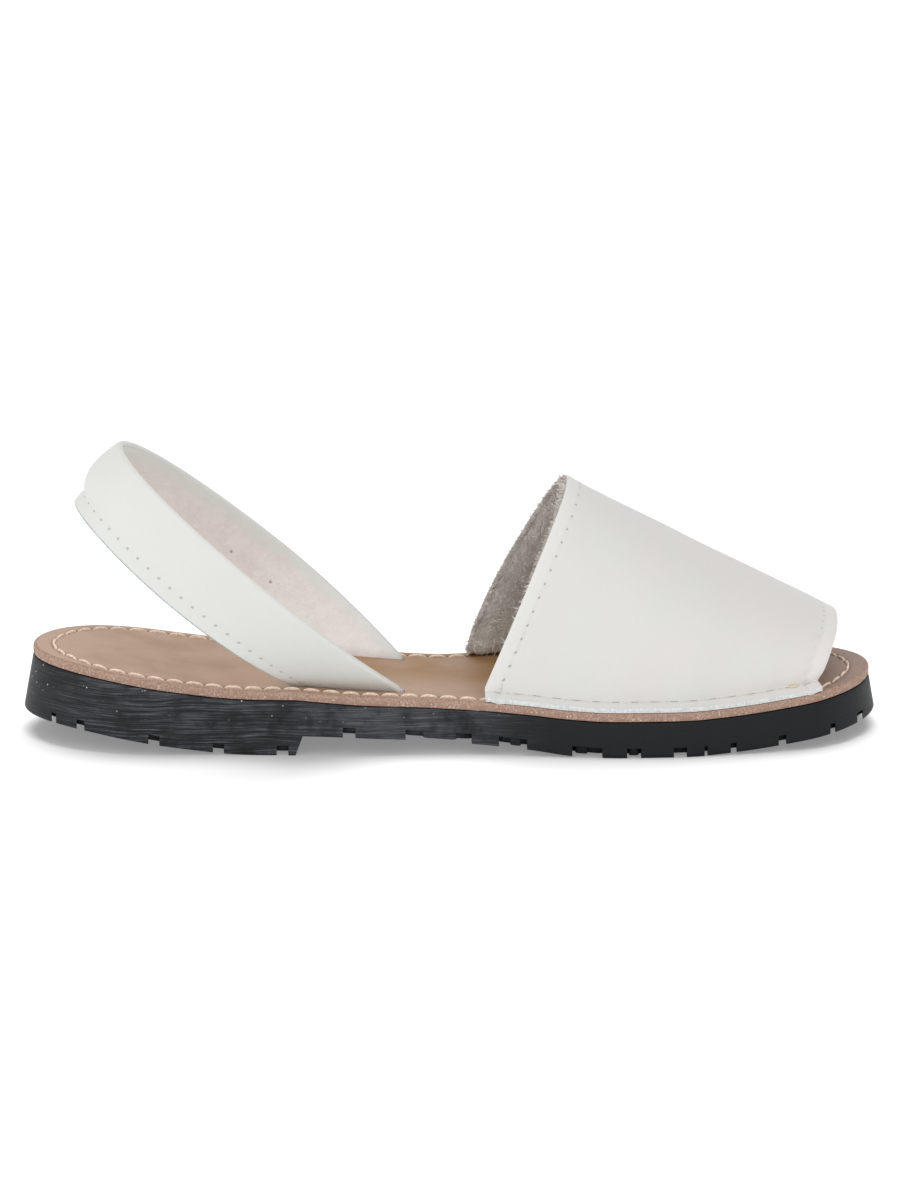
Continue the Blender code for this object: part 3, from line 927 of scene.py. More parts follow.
@lru_cache(maxsize=None)
def vamp_section(along):
    """What carries the vamp's section: its rims, feet, floors and crown."""
    places = (
        mix(VAMP_REAR_LATERAL, VAMP_FRONT_LATERAL, along) * SOLE_LENGTH,
        mix(VAMP_REAR_MEDIAL, VAMP_FRONT_MEDIAL, along) * SOLE_LENGTH,
    )
    rims = [edge_at(x, side) for x, side in zip(places, (-1, 1))]
    feet = [edge_at(x, side, FLANGE) for x, side in zip(places, (-1, 1))]
    floors = [insole_top(x) + REST_GAP for x in places]
    rear = insole_top(VAMP_REAR_CROWN * SOLE_LENGTH) + INSTEP_HEIGHT
    front = insole_top(VAMP_FRONT_CROWN * SOLE_LENGTH) + TOE_OPENING
    crown = Vector((
        mix(VAMP_REAR_CROWN, VAMP_FRONT_CROWN, along) * SOLE_LENGTH,
        (feet[0].y + feet[1].y) / 2 + CROWN_SHIFT * (1 - along),
        mix(rear, front, along) - RIDGE_DIP * math.sin(math.pi * along),
    ))
    return rims, feet, floors, crown


def vamp_lining(along, girth):
    """The vamp's inner side: along 0 at the throat and 1 at the toe, girth in cells
    from the lateral rim over the crown to the medial rim."""
    rims, feet, floors, crown = vamp_section(along)
    which = 0 if girth <= GIRTH / 2 else 1
    near = min(girth, GIRTH - girth)
    rim, foot, floor = rims[which], feet[which], floors[which]
    out = (rim - foot).normalized()
    if near <= FLAT_CELLS:
        away = mix((rim - foot).length, FLANGE_RADIUS, near / FLAT_CELLS)
        return Vector((foot.x + out.x * away, foot.y + out.y * away, floor))
    if near <= FLAT_CELLS + CURL_CELLS:
        turn = math.pi / 2 * (near - FLAT_CELLS) / CURL_CELLS
        away = FLANGE_RADIUS * (1 - math.sin(turn))
        up = FLANGE_RADIUS * (1 - math.cos(turn))
        return Vector((foot.x + out.x * away, foot.y + out.y * away, floor + up))
    turn = math.pi * (near - FLAT_CELLS - CURL_CELLS) / ARCH_CELLS
    power = 2 / mix(THROAT_FULLNESS, TOE_FULLNESS, along)
    up = max(0.0, math.sin(turn)) ** power
    wide = max(0.0, math.cos(turn)) ** power
    lean = mix((1.0, MEDIAL_LEAN)[which], 1.0, along)
    return Vector((
        mix(foot.x, crown.x, up ** lean),
        mix(crown.y, foot.y, wide),
        mix(floor + FLANGE_RADIUS, crown.z, up),
    ))


def vamp_outside(along, girth, out=VAMP_WALL):
    """A point out from the lining, and the direction outwards."""
    step = 0.004
    low = max(0.0, along - step)
    high = min(1.0, along + step)
    ahead = vamp_lining(high, girth) - vamp_lining(low, girth)
    left = max(0.0, girth - 0.5)
    right = min(GIRTH, girth + 0.5)
    around = vamp_lining(along, right) - vamp_lining(along, left)
    up = ahead.cross(around).normalized()
    return vamp_lining(along, girth) + up * out, up


@lru_cache(maxsize=None)
def vamp_directions(along, girth):
    """Unit directions towards the toe and round the vamp."""
    ahead = vamp_lining(along + 0.004, girth) - vamp_lining(along, girth)
    around = vamp_lining(along, girth + 0.5) - vamp_lining(along, girth - 0.5)
    return ahead.normalized(), around.normalized()


@lru_cache(maxsize=None)
def edge_speed(end, girth):
    """Distance square to the throat's (end 0) or toe's (end 1) edge per unit along."""
    step = 0.004
    inward = step if end == 0 else -step
    here = vamp_lining(end, girth)
    run = (vamp_lining(end + inward, girth) - here) / step
    left = vamp_lining(end, max(0.0, girth - 0.5))
    right = vamp_lining(end, min(GIRTH, girth + 0.5))
    return run.cross((right - left).normalized()).length


def edge_seam(end):
    """The stitches' path inside the throat's or toe's edge: points, directions out."""
    cells = FLAT_CELLS + 2
    line = []
    for k in range(2 * (GIRTH - 2 * cells) + 1):
        girth = cells + k / 2
        inset = EDGE_SEAM / edge_speed(end, girth)
        line.append(vamp_outside(inset if end == 0 else 1 - inset, girth))
    return line


def rim_cell(along, which):
    """The place, in cells from the lateral rim, of the flange's seam."""
    cells = FLAT_CELLS + CURL_CELLS * 0.48
    return cells if which == 0 else GIRTH - cells


def rim_seam(which):
    line = []
    steps = 160
    for k in range(steps + 1):
        along = mix(0.03, 0.97, k / steps)
        line.append(vamp_outside(along, rim_cell(along, which)))
    return line


def needle_holes(line, pitch):
    """Holes at an even pitch along a seam, each with its direction out."""
    run = walk([place for place, up in line])
    count = round(run[-1] / pitch)
    holes = []
    k = 0
    for i in range(count + 1):
        goal = run[-1] * i / count
        while k < len(run) - 2 and run[k + 1] < goal:
            k += 1
        share = (goal - run[k]) / (run[k + 1] - run[k])
        holes.append((line[k][0].lerp(line[k + 1][0], share),
                      line[k][1].lerp(line[k + 1][1], share).normalized()))
    return holes


def nap_group():
    """Suede: short matted fibres, as height and tone from 0 to 1."""
    group = bpy.data.node_groups.new("suede nap", "ShaderNodeTree")
    group.interface.new_socket(name="Place", in_out="INPUT", socket_type="NodeSocketVector")
    group.interface.new_socket(name="Fineness", in_out="INPUT", socket_type="NodeSocketFloat")
    group.interface.new_socket(name="Height", in_out="OUTPUT", socket_type="NodeSocketFloat")
    group.interface.new_socket(name="Tone", in_out="OUTPUT", socket_type="NodeSocketFloat")
    given = group.nodes.new("NodeGroupInput")
    out = group.nodes.new("NodeGroupOutput")
    place = given.outputs["Place"]
    swirl = add(group, "TexNoise", Vector=place, Scale=240.0, Detail=3.0)
    moved = add(group, "VectorMath", {"operation": "MULTIPLY_ADD"})
    group.links.new(swirl.outputs["Color"], moved.inputs[0])
    moved.inputs[1].default_value = (0.006, 0.006, 0.006)
    group.links.new(place, moved.inputs[2])
    combed = add(group, "Mapping", Vector=moved.outputs[0])
    combed.inputs["Rotation"].default_value = (0.0, math.radians(28.0), 0.0)
    combed.inputs["Scale"].default_value = (2.2, 1.4, 0.7)
    fibres = add(group, "TexNoise", Vector=combed.outputs[0],
                 Scale=given.outputs["Fineness"], Detail=5.0, Roughness=0.7)
    clumps = add(group, "TexNoise", Vector=moved.outputs[0], Scale=210.0, Detail=5.0,
                 Roughness=0.65)
    height = maths(group, "MULTIPLY_ADD", clumps.outputs["Fac"], 0.8, fibres.outputs["Fac"])
    group.links.new(height, out.inputs["Height"])
    tone = maths(group, "ADD", maths(group, "MULTIPLY", fibres.outputs["Fac"], 0.6),
                 maths(group, "MULTIPLY", clumps.outputs["Fac"], 0.4))
    group.links.new(tone, out.inputs["Tone"])
    return group


NAP = nap_group()


def white_finish(name, cool, warm, seams, hem=0.0):
    """White leather, warmer towards the toe; seams are (gap mark, run mark, pitch, radius,
    half length, depth of tone) of their needle holes, and hem is the share of a painted
    highlight that makes the raised hem beyond the first seam paler."""
    made, tree, shader, place = new_finish(name, 0.46, 0.4)
    grain = use(tree, GRAIN, Place=place, Pores=1500.0)
    front = fade(tree, add(tree, "SeparateXYZ", Vector=place).outputs["X"], 0.095, 0.140)
    warmth = maths(tree, "MULTIPLY_ADD", front, 0.7, 0.3)
    mottle = fade(tree, grain.outputs["Tone"], 0.30, 0.66)
    plain = tint(tree, maths(tree, "MULTIPLY", mottle, warmth), cool, warm)
    if hem:
        # Painted highlight: the raised hem beyond the first seam is tinted paler.
        beyond = fade(tree, mark(tree, seams[0][0]), 0.0, -0.0018)
        plain = tint(tree, maths(tree, "MULTIPLY", beyond, hem), plain, colour(236, 237, 234))
    relief = grain.outputs["Height"]
    for gap, run, pitch, radius, half, depth in seams:
        hole = use(tree, HOLES, Gap=mark(tree, gap), Run=mark(tree, run), Pitch=pitch,
                   Radius=radius, Half=half).outputs["Hole"]
        plain = tint(tree, maths(tree, "MULTIPLY", hole, depth), plain, colour(104, 105, 102))
        relief = maths(tree, "SUBTRACT", relief, maths(tree, "MULTIPLY", hole, 5.0))
    tree.links.new(plain, shader.inputs["Base Color"])
    tree.links.new(maths(tree, "MULTIPLY_ADD", grain.outputs["Tone"], 0.25, 0.36),
                   shader.inputs["Roughness"])
    raise_by(tree, shader, relief, 0.00004, 0.55)
    return made


def suede_finish(name, light, dark, fineness, depth, rim=None):
    """Suede or a napped lining; rim is (colour, mark, start, end) of a smooth change
    away from an edge."""
    made, tree, shader, place = new_finish(name, 0.95, 0.1)
    shader.inputs["Sheen Weight"].default_value = 0.7
    shader.inputs["Sheen Roughness"].default_value = 0.9
    nap = use(tree, NAP, Place=place, Fineness=fineness)
    shade = tint(tree, fade(tree, nap.outputs["Tone"], 0.36, 0.62), dark, light)
    # For the strap lining this change is the turned-over leather at the edge, with a painted light
    # below it.
    if rim:
        plain, name, start, end = rim
        shade = tint(tree, fade(tree, mark(tree, name), start, end), plain, shade)
    tree.links.new(shade, shader.inputs["Base Color"])
    raise_by(tree, shader, nap.outputs["Height"], depth, 1.0)
    return made


def cut_finish(name, plain, dark, open_edge=None):
    """A knife-cut edge of dyed leather. The vamp's rim is painted, told apart by its
    distance from the flange's seam. Its open edges are bare: white on the lateral side,
    and worn to suede on the medial one."""
    made, tree, shader, place = new_finish(name, 0.7, 0.25)
    fibre = add(tree, "TexNoise", Vector=place, Scale=1100.0, Detail=4.0)
    shade = tint(tree, fade(tree, fibre.outputs["Fac"], 0.35, 0.7), plain, dark)
    if open_edge:
        away = fade(tree, mark(tree, "rim_gap"), -0.0017, -0.0013)
        nap = use(tree, NAP, Place=place, Fineness=1500.0).outputs["Tone"]
        suede = tint(tree, fade(tree, nap, 0.42, 0.56), BARE_EDGE_DARK, BARE_EDGE)
        medial = fade(tree, add(tree, "SeparateXYZ", Vector=place).outputs["Y"], -0.004, 0.010)
        back = fade(tree, add(tree, "SeparateXYZ", Vector=place).outputs["X"], 0.125, 0.115)
        bare = tint(tree, maths(tree, "MULTIPLY", medial, back), open_edge, suede)
        shade = tint(tree, away, shade, bare)
    tree.links.new(shade, shader.inputs["Base Color"])
    raise_by(tree, shader, fibre.outputs["Fac"], 0.00006, 0.6)
    return made


def vamp_spread(share):
    """Rows lie closer at the throat and the toe, where the seams are."""
    return share - 0.55 * math.sin(2 * math.pi * share) / (2 * math.pi)


def vamp():
    mesh = bmesh.new()
    bmesh.ops.create_grid(mesh, x_segments=GIRTH, y_segments=LENGTH_CELLS, size=0.5)
    names = ("seam_gap", "seam_run", "rim_gap", "rim_run")
    seam_gap, seam_run_mark, rim_gap, rim_run = [mesh.verts.layers.float.new(n) for n in names]
    runs = {}
    for end in (0, 1):
        line = edge_seam(end)
        run = walk([place for place, up in line])
        count = round(run[-1] / EDGE_PITCH)
        cells = FLAT_CELLS + 2
        for girth in range(GIRTH + 1):
            k = min(len(run) - 1, max(0, 2 * (girth - cells)))
            runs[end, girth] = run[k] / run[-1] * count
    rim_lengths = [walk([place for place, up in rim_seam(which)])[-1] for which in (0, 1)]
    rim_counts = [round(length / RIM_PITCH) for length in rim_lengths]
    soft = {}
    thick = mesh.verts.layers.deform.verify()
    for vert in mesh.verts:
        girth = round((vert.co.x + 0.5) * GIRTH)
        along = vamp_spread(vert.co.y + 0.5)
        vert.co = vamp_lining(along, girth)
        end = 0 if along < 0.5 else 1
        far = (along if end == 0 else 1 - along) * edge_speed(end, girth)
        which = 0 if girth <= GIRTH / 2 else 1
        cells = min(girth, GIRTH - girth)
        vert[seam_gap] = far - EDGE_SEAM if cells > FLAT_CELLS + 1 else 1.0
        vert[seam_run_mark] = runs[end, girth]
        vert[rim_gap] = (cells - rim_cell(along, 0) - 1.1) * 0.00026
        vert[rim_run] = (along - 0.03) / 0.94 * rim_counts[which]
        vert[thick][0] = mix(RIM_WALL, 1.0, ease(cells / (FLAT_CELLS + 1)))
        soft[vert.index] = vamp_softness(vert.co, far, cells, runs[end, girth],
                                         vert[rim_gap], vert[rim_run])
    mesh.normal_update()
    if sum(face.normal.z * face.calc_area() for face in mesh.faces) < 0:
        bmesh.ops.reverse_faces(mesh, faces=mesh.faces)
        mesh.normal_update()
    moves = [(vert, vert.normal * soft[vert.index]) for vert in mesh.verts]
    for vert, move in moves:
        vert.co += move
    in_row_frame(mesh)
    outside = white_finish("white leather", WHITE, WARM_WHITE, [
        ("seam_gap", "seam_run", EDGE_PITCH, 0.00072, 0.0, 0.62),
        ("rim_gap", "rim_run", RIM_PITCH, 0.00026, 0.0012, 0.66),
    ], 0.12)
    inside = suede_finish("suede lining", SUEDE, SUEDE_DARK, 1500.0, 0.0010)
    edge = cut_finish("cut white edge", CUT_EDGE, CUT_EDGE_DARK, THROAT_EDGE)
    made = finished("vamp_leather", mesh, [outside, inside, edge])
    made.vertex_groups.new(name="wall")
    wall = made.modifiers.new("wall", "SOLIDIFY")
    wall.vertex_group = "wall"
    wall.thickness = VAMP_WALL
    wall.offset = 1.0
    wall.use_even_offset = True
    wall.use_quality_normals = True
    wall.material_offset = 1
    wall.material_offset_rim = 2
    corners = made.modifiers.new("corners", "BEVEL")
    corners.width = 0.0003
    corners.segments = 2
    corners.limit_method = "ANGLE"
    corners.angle_limit = math.radians(50.0)
    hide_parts("vamp")
    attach(made, "root")


def vamp_softness(place, far, cells, run, gap, rim):
    """How far the leather swells or sinks: seams pull it down, the hem stands up."""
    pull = math.exp(-((far - EDGE_SEAM) / 0.0010) ** 2)
    pucker = 0.35 + 0.65 * math.cos(2 * math.pi * run)
    hem = ease(1 - far / EDGE_SEAM) * ease(far / 0.0008)
    sewn = math.exp(-((gap + 0.00028) / 0.0005) ** 2) * (0.75 + 0.25 * math.cos(2 * math.pi * rim))
    return (-0.00030 * pull * pucker + 0.00022 * hem - 0.00030 * sewn
            + vamp_swell(place, cells))


def vamp_swell(place, cells):
    """Broad, shallow waves of soft leather, away from the flange."""
    away = ease((cells - FLAT_CELLS - CURL_CELLS) / 14)
    broad = noise.noise(place * 22.0 + Vector((3.1, 0.4, 1.7)))
    middle = noise.noise(place * 60.0 + Vector((0.3, 5.2, 2.9)))
    return away * (0.0006 * broad + 0.00016 * middle)


vamp()

# Suede fibres: the rough inside of the vamp's hide stands up in short matted fibres,
# which also fringe the cut edge at the throat.
FIBRE_BATCH = 40
FIBRE_BATCHES = 130
FRINGE_BATCHES = 60
FIBRE_DEPTHS = 70
FIBRE_REACH = 0.42


def fibre_batch():
    cone = bmesh.new()
    bmesh.ops.create_cone(cone, cap_ends=True, segments=3, radius1=0.5, radius2=0.15, depth=1.0)
    one = unit_form(cone, 1, 2)
    batch = bmesh.new()
    for k in range(FIBRE_BATCH):
        batch.from_mesh(one)
    count = len(one.vertices)
    form = bpy.data.meshes.new("fibre batch")
    batch.to_mesh(form)
    batch.free()
    return form, count


def lay_fibre(verts, root, run, rise, thick):
    """Bends one fibre from its root along run, arching up by rise."""
    across = run.cross(rise).normalized()
    up = run.cross(across).normalized()
    for vert in verts:
        share = vert.co.z + 0.5
        centre = root + run * share + rise * (share * (1.8 - share))
        vert.co = centre + (across * vert.co.x + up * vert.co.y) * thick


def suede_fibres():
    mesh = bmesh.new()
    chance = random.Random(7)
    form, count = fibre_batch()
    low = FLAT_CELLS + CURL_CELLS
    for batch in range(FIBRE_BATCHES + FRINGE_BATCHES):
        fringe = batch >= FIBRE_BATCHES
        verts = append(mesh, form)
        for k in range(FIBRE_BATCH):
            if fringe:
                along = 0.0
                girth = mix(low + 10, GIRTH - low + 4, chance.random() ** 0.6)
            else:
                along = round(chance.random() ** 1.4 * FIBRE_DEPTHS) / FIBRE_DEPTHS * FIBRE_REACH
                girth = mix(low + 6, GIRTH - low + 3, chance.random())
            girth = round(girth * 2) / 2
            place, out = vamp_outside(along, girth, 0.0)
            ahead, around = vamp_directions(along, girth)
            place += out * vamp_swell(place, min(girth, GIRTH - girth))
            place += around * chance.uniform(-0.0004, 0.0004)
            if fringe:
                depth = chance.random() ** 1.5 * VAMP_WALL * 0.9
                place += out * depth
                run = (-ahead * chance.uniform(0.2, 1.0) - out * chance.uniform(-0.3, 0.7)
                       + around * chance.uniform(-0.9, 0.9)).normalized()
                run *= chance.uniform(0.0007, 0.0019)
                rise = -ahead * chance.uniform(0.0001, 0.0006) - out * 0.00008
            else:
                place += ahead * chance.uniform(-0.0004, 0.0008)
                run = (ahead * chance.gauss(-0.4, 0.8) + around * chance.gauss(0.2, 0.8)
                       - out * 0.12).normalized()
                run *= chance.uniform(0.0010, 0.0025)
                rise = -out * chance.uniform(0.0002, 0.0010)
            lay_fibre(verts[k * count:(k + 1) * count], place, run, rise,
                      chance.uniform(0.00015, 0.00036))
        if fringe:
            for vert in verts:
                for face in vert.link_faces:
                    face.material_index = 1
    in_row_frame(mesh)
    mesh.normal_update()
    bmesh.ops.recalc_face_normals(mesh, faces=mesh.faces)
    looks = [suede_finish("suede fibres", colour(252, 248, 242), colour(234, 226, 215), 1500.0,
                          0.0002),
             suede_finish("suede fringe", BARE_EDGE, BARE_EDGE_DARK, 1500.0, 0.0002)]
    made = finished("suede_fibres", mesh, looks)
    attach(made, "root")


suede_fibres()

# Vamp stitches: fine white thread along the throat and the toe, where it holds the hem
# flat, and longer stitches in the corner of the flange, which hold the vamp on the sole.
EDGE_THREAD = 0.00036
RIM_THREAD = 0.00050
TACK_THREAD = 0.00100
TACK_PLACE = 0.925
TACK_LENGTH = 0.0034


def vamp_stitches():
    mesh = bmesh.new()
    for end in (0, 1):
        holes = needle_holes(edge_seam(end), EDGE_PITCH)
        for (a, up), (b, up_b) in zip(holes, holes[1:]):
            sunk = 0.00026
            sew(mesh, a - up * sunk, b - up_b * sunk, (up + up_b).normalized(),
                EDGE_THREAD, 0.00016, 0.0010)
    for which in (0, 1):
        holes = needle_holes(rim_seam(which), RIM_PITCH)
        for (a, up), (b, up_b) in zip(holes, holes[1:]):
            sunk = 0.00028
            sew(mesh, a - up * sunk, b - up_b * sunk, (up + up_b).normalized(),
                RIM_THREAD, 0.00036, 0.0005)
    in_row_frame(mesh)
    bmesh.ops.recalc_face_normals(mesh, faces=mesh.faces)
    look = thread_finish("white thread", colour(206, 205, 199), colour(186, 184, 177))
    made = finished("vamp_stitches", mesh, [look])
    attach(made, "root")


def vamp_tacks():
    """One thick waxed stitch at each front corner of the flange."""
    mesh = bmesh.new()
    for which in (0, 1):
        place, up = vamp_outside(TACK_PLACE, rim_cell(TACK_PLACE, which))
        ahead, around = vamp_directions(TACK_PLACE, rim_cell(TACK_PLACE, which))
        start = place - ahead * (TACK_LENGTH / 2)
        sew(mesh, start, start + ahead * TACK_LENGTH, up, TACK_THREAD, 0.0006, 0.0)
    in_row_frame(mesh)
    bmesh.ops.recalc_face_normals(mesh, faces=mesh.faces)
    look = thread_finish("waxed thread", colour(222, 214, 184), colour(182, 172, 138))
    made = finished("vamp_tacks", mesh, [look])
    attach(made, "root")


vamp_stitches()
vamp_tacks()

# Heel strap: a band of white leather with a thin lining, turned over at its upper edge
# and sewn along the lower one. It leans back round the heel, its feet in the slits.
STRAP_WIDTH = 0.0225
STRAP_LEAN = math.radians(36.0)
STRAP_TOP = 0.0878
LOOP_WIDTH = 0.0732
LOWER_LOOP_WIDTH = 0.0680
STRAP_SAG = 0.0020
STRAP_FLARE = 0.0004
STRAP_BOW = 0.0014
BACK_BOW = 0.0016
STRAP_SEAM = 0.0045
STRAP_BACK = 0.1115
LOOP_WIDEST = 0.56
LOWER_LOOP_WIDEST = 0.63
LOOP_SPLIT = 0.62
CURL_END = 0.80
FLARE_END = 0.30
STRAP_PITCH = 0.0044
# Two needle holes left in the lining: along the strap and across it, in shares
LINING_HOLES = [(0.59, 0.50), (0.75, 0.50)]
STRAP_CELLS = 130
LINING = colour(220, 213, 208)
LINING_DARK = colour(203, 191, 185)
STRAP_WHITE = colour(202, 203, 199)
STRAP_WARM = colour(206, 204, 201)
STRAP_EDGE = colour(168, 178, 180)
STRAP_EDGE_DARK = colour(136, 146, 148)


def loop_edge(share, back, foot, width, widest, sag):
    """A point of one strap edge: from its back, share 0, to its foot, share 1."""
    run = math.hypot(foot.x - back.x, foot.z - back.z)
    side = math.copysign(1, foot.y)
    if share <= LOOP_SPLIT:
        turn = math.pi / 2 * share / LOOP_SPLIT
        gone = widest * run * (1 - math.cos(turn))
        half = width / 2 * math.sin(turn)
    else:
        rest = (share - LOOP_SPLIT) / (1 - LOOP_SPLIT)
        gone = mix(widest * run, run, mix(rest, rest * rest, 0.25))
        beyond = (gone - widest * run) / (run - widest * run)
        half = mix(width / 2, abs(foot.y), beyond * beyond)
    part = gone / run
    dip = sag * math.sin(math.pi * part)
    return Vector((mix(back.x, foot.x, part), side * half, mix(back.z, foot.z, part) - dip))


@lru_cache(maxsize=None)
def strap_edges(share, side):
    top_back = Vector((STRAP_BACK * SOLE_LENGTH, 0.0, STRAP_TOP))
    low_back = top_back - STRAP_WIDTH * Vector((math.sin(STRAP_LEAN), 0.0,
                                                math.cos(STRAP_LEAN)))
    upper = loop_edge(share, top_back, strap_foot(1.0, side), LOOP_WIDTH, LOOP_WIDEST, 0.0)
    lower = loop_edge(share, low_back, strap_foot(0.0, side), LOWER_LOOP_WIDTH,
                      LOWER_LOOP_WIDEST, STRAP_SAG)
    return lower, upper


def strap_middle(signed, across):
    """The middle of the strap's wall: signed runs from -1, the lateral foot, over the
    back at 0 to 1, the medial foot; across from 0, the lower edge, to 1. Past either
    foot it goes down through the slit."""
    side = -1 if signed < 0 else 1
    share = min(1.0, abs(signed))
    lower, upper = strap_edges(share, side)
    place = lower.lerp(upper, across)
    seam = STRAP_SEAM / STRAP_WIDTH
    fading = 1 - ease(share / CURL_END)
    turn = math.pi / 2 * min(1.0, share / LOOP_SPLIT)
    out = Vector((-math.cos(turn), side * math.sin(turn), 0.0))
    bow = math.sin(math.pi * max(0.0, (across - seam) / (1 - seam)))
    flare = STRAP_FLARE * (1 - 0.75 * ease(share / FLARE_END)) * ease(1 - across / seam)
    back = BACK_BOW * (1 - ease(share / FLARE_END))
    place += out * fading * (flare + (STRAP_BOW + back) * bow)
    if abs(signed) > 1:
        foot = strap_foot(across, side)
        place = Vector((foot.x, foot.y, mix(foot.z, sole_top(foot.x) + GAP,
                                            (abs(signed) - 1) / 0.1)))
    return place


def strap_normal(signed, across):
    step = 0.008
    ahead = strap_middle(signed + step, across) - strap_middle(signed - step, across)
    upward = strap_middle(signed, min(1.0, across + 0.05)) - strap_middle(
        signed, max(0.0, across - 0.05))
    return upward.cross(ahead).normalized()


def strap_profile():
    """Round the strap's section: share of the width, offset from the middle of the
    wall, and the material, from the lower edge up outside and down inside."""
    half = STRAP_WALL / 2
    fold = half / STRAP_WIDTH
    points = [(0.006, 0.0, 2), (0.0, half * 0.2, 2), (0.002, half * 0.72, 2),
              (0.010, half * 0.94, 2), (0.022, half, 2)]
    points += [(mix(0.03, 1 - fold, i / 26), half, 0) for i in range(27)]
    for degrees in range(15, 180, 15):
        turn = math.radians(90 - degrees)
        points.append((1 - fold + fold * math.cos(turn), half * math.sin(turn), 0))
    points += [(mix(1 - fold, 0.02, i / 26), -half, 1) for i in range(27)]
    points += [(0.006, -half * 0.9, 2), (0.0, -half * 0.5, 2), (0.0, -half * 0.15, 2)]
    return points + [points[0]]


def pierce(tree, shader, place):
    """The lining's odd needle holes, as dark spots over its colour."""
    link = shader.inputs["Base Color"].links[0]
    shade = link.from_socket
    for signed, across in LINING_HOLES:
        spot = strap_middle(signed, across) - strap_normal(signed, across) * (STRAP_WALL / 2)
        spot.x -= HEEL_REST * SOLE_LENGTH
        away = add(tree, "VectorMath", {"operation": "DISTANCE"})
        tree.links.new(place, away.inputs[0])
        away.inputs[1].default_value = spot
        hole = fade(tree, away.outputs["Value"], 0.00062, 0.00025)
        shade = tint(tree, hole, shade, colour(124, 112, 104))
    tree.links.new(shade, shader.inputs["Base Color"])


def strap_finishes():
    outside = white_finish("white strap leather", STRAP_WHITE, STRAP_WARM, [
        ("seam_gap", "seam_run", STRAP_PITCH, 0.00048, 0.0, 0.46),
    ])
    # The lining is white within 1 mm of its upper edge, where the outer leather turns over; below
    # that a painted light fades into the lining's own colour by 7.5 mm.
    inside = suede_finish("strap lining", LINING, LINING_DARK, 1900.0, 0.00016,
                          (STRAP_WHITE, "from_top", 0.0010, 0.0075))
    tree = inside.node_tree
    pierce(tree, tree.nodes["Principled BSDF"], add(tree, "TexCoord").outputs["Object"])
    edge = cut_finish("cut strap edge", STRAP_EDGE, STRAP_EDGE_DARK)
    return [outside, inside, edge]


def heel_strap():
    profile = strap_profile()
    rows = len(profile) - 1
    signs = [mix(-1.0, 1.0, i / STRAP_CELLS) for i in range(STRAP_CELLS + 1)]
    down = [1.03, 1.06, 1.1]
    signs = [-s for s in down[::-1]] + signs + down
    seam = walk([strap_middle(s, STRAP_SEAM / STRAP_WIDTH) for s in signs])
    zero = seam[len(signs) // 2]
    mesh = bmesh.new()
    bmesh.ops.create_grid(mesh, x_segments=len(signs) - 1, y_segments=rows, size=0.5)
    seam_gap = mesh.verts.layers.float.new("seam_gap")
    seam_run_mark = mesh.verts.layers.float.new("seam_run")
    from_top = mesh.verts.layers.float.new("from_top")
    normals = {}
    for vert in mesh.verts:
        i = round((vert.co.x + 0.5) * (len(signs) - 1))
        across, out, look = profile[round((vert.co.y + 0.5) * rows)]
        if (i, across) not in normals:
            normals[i, across] = strap_normal(signs[i], across)
        vert.co = strap_middle(signs[i], across) + normals[i, across] * out
        lower, upper = strap_edges(min(1.0, abs(signs[i])), -1 if signs[i] < 0 else 1)
        gap = across * (upper - lower).length - STRAP_SEAM
        vert[seam_gap] = gap if out > 0 else 0.01
        vert[seam_run_mark] = abs(seam[i] - zero) / STRAP_PITCH
        vert[from_top] = (1 - across) * (upper - lower).length
        pull = math.exp(-(gap / 0.0008) ** 2) if out > 0 else 0.0
        vert.co -= normals[i, across] * (0.00016 * pull)
    mesh.faces.ensure_lookup_table()
    for number, face in enumerate(mesh.faces):
        face.material_index = profile[number // (len(signs) - 1) + 1][2]
    closed(mesh)
    ends = [edge for edge in mesh.edges if edge.is_boundary]
    bmesh.ops.holes_fill(mesh, edges=ends, sides=0)
    bmesh.ops.recalc_face_normals(mesh, faces=mesh.faces)
    in_row_frame(mesh)
    made = finished("strap_leather", mesh, strap_finishes(), 60.0)
    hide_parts("heel_strap")
    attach(made, "root")


heel_strap()


# Studio: a plain white floor, one broad soft light from above and in front, and white
# surroundings, as for a catalogue picture. The camera looks at the lateral side.
TARGET = Vector((0.0534, -0.0025, 0.0397))
CAMERA_RISE = math.radians(15.5)
SHOE_TURN = math.radians(1.5)
CAMERA_DISTANCE = 8.0
VIEW_HEIGHT = 0.3614
SENSOR = 36.0


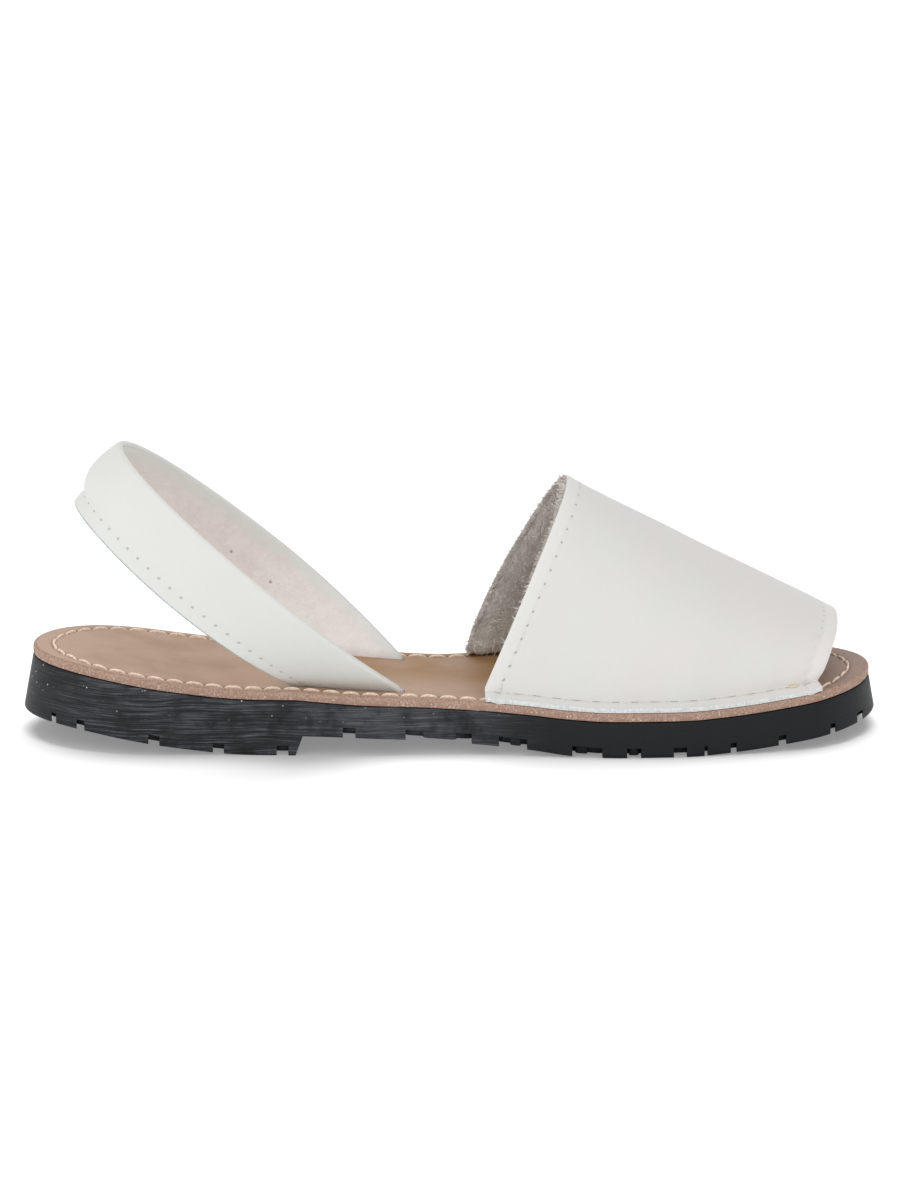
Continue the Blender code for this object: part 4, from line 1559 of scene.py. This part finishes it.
def studio():
    floor_mesh = bmesh.new()
    bmesh.ops.create_grid(floor_mesh, x_segments=1, y_segments=1, size=15.0)
    paint, tree, shader, place = new_finish("white floor", 0.9, 0.0)
    shader.inputs["Base Color"].default_value = (0.28, 0.28, 0.28, 1.0)
    shader.inputs["Emission Color"].default_value = (1.0, 1.0, 1.0, 1.0)
    shader.inputs["Emission Strength"].default_value = 0.24
    floor = finished("floor", floor_mesh, [paint])
    world = bpy.data.worlds.new("white surroundings")
    bpy.context.scene.world = world
    world.use_nodes = True
    world.node_tree.nodes["Background"].inputs["Color"].default_value = (1.0, 1.0, 1.0, 1.0)
    world.node_tree.nodes["Background"].inputs["Strength"].default_value = 0.98
    for name, power, spread, goes, only in (
        ("soft key", 0.50, 60.0, (0.04, 0.72, -0.69), None),
        ("side fill", 0.52, 50.0, (0.84, 0.44, -0.32), None),
        ("floor light", 8.5, 50.0, (0.0, -0.38, -0.92), floor),
    ):
        lamp = bpy.data.lights.new(name, "SUN")
        lamp.energy = power
        lamp.angle = math.radians(spread)
        light = bpy.data.objects.new(name, lamp)
        light.rotation_euler = Vector(goes).to_track_quat("-Z", "Y").to_euler()
        bpy.context.scene.collection.objects.link(light)
        if only:
            light.light_linking.receiver_collection = bpy.data.collections.new(name)
            light.light_linking.receiver_collection.objects.link(only)
    lens = bpy.data.cameras.new("camera")
    lens.sensor_width = SENSOR
    lens.lens = SENSOR * CAMERA_DISTANCE / VIEW_HEIGHT
    lens.clip_end = 100.0
    camera = bpy.data.objects.new("camera", lens)
    towards = Vector((
        -math.sin(SHOE_TURN) * math.cos(CAMERA_RISE),
        -math.cos(SHOE_TURN) * math.cos(CAMERA_RISE),
        math.sin(CAMERA_RISE),
    ))
    camera.location = TARGET + towards * CAMERA_DISTANCE
    camera.rotation_euler = (-towards).to_track_quat("-Z", "Y").to_euler()
    bpy.context.scene.collection.objects.link(camera)
    bpy.context.scene.camera = camera
    bpy.context.scene.view_settings.view_transform = "Standard"


studio()
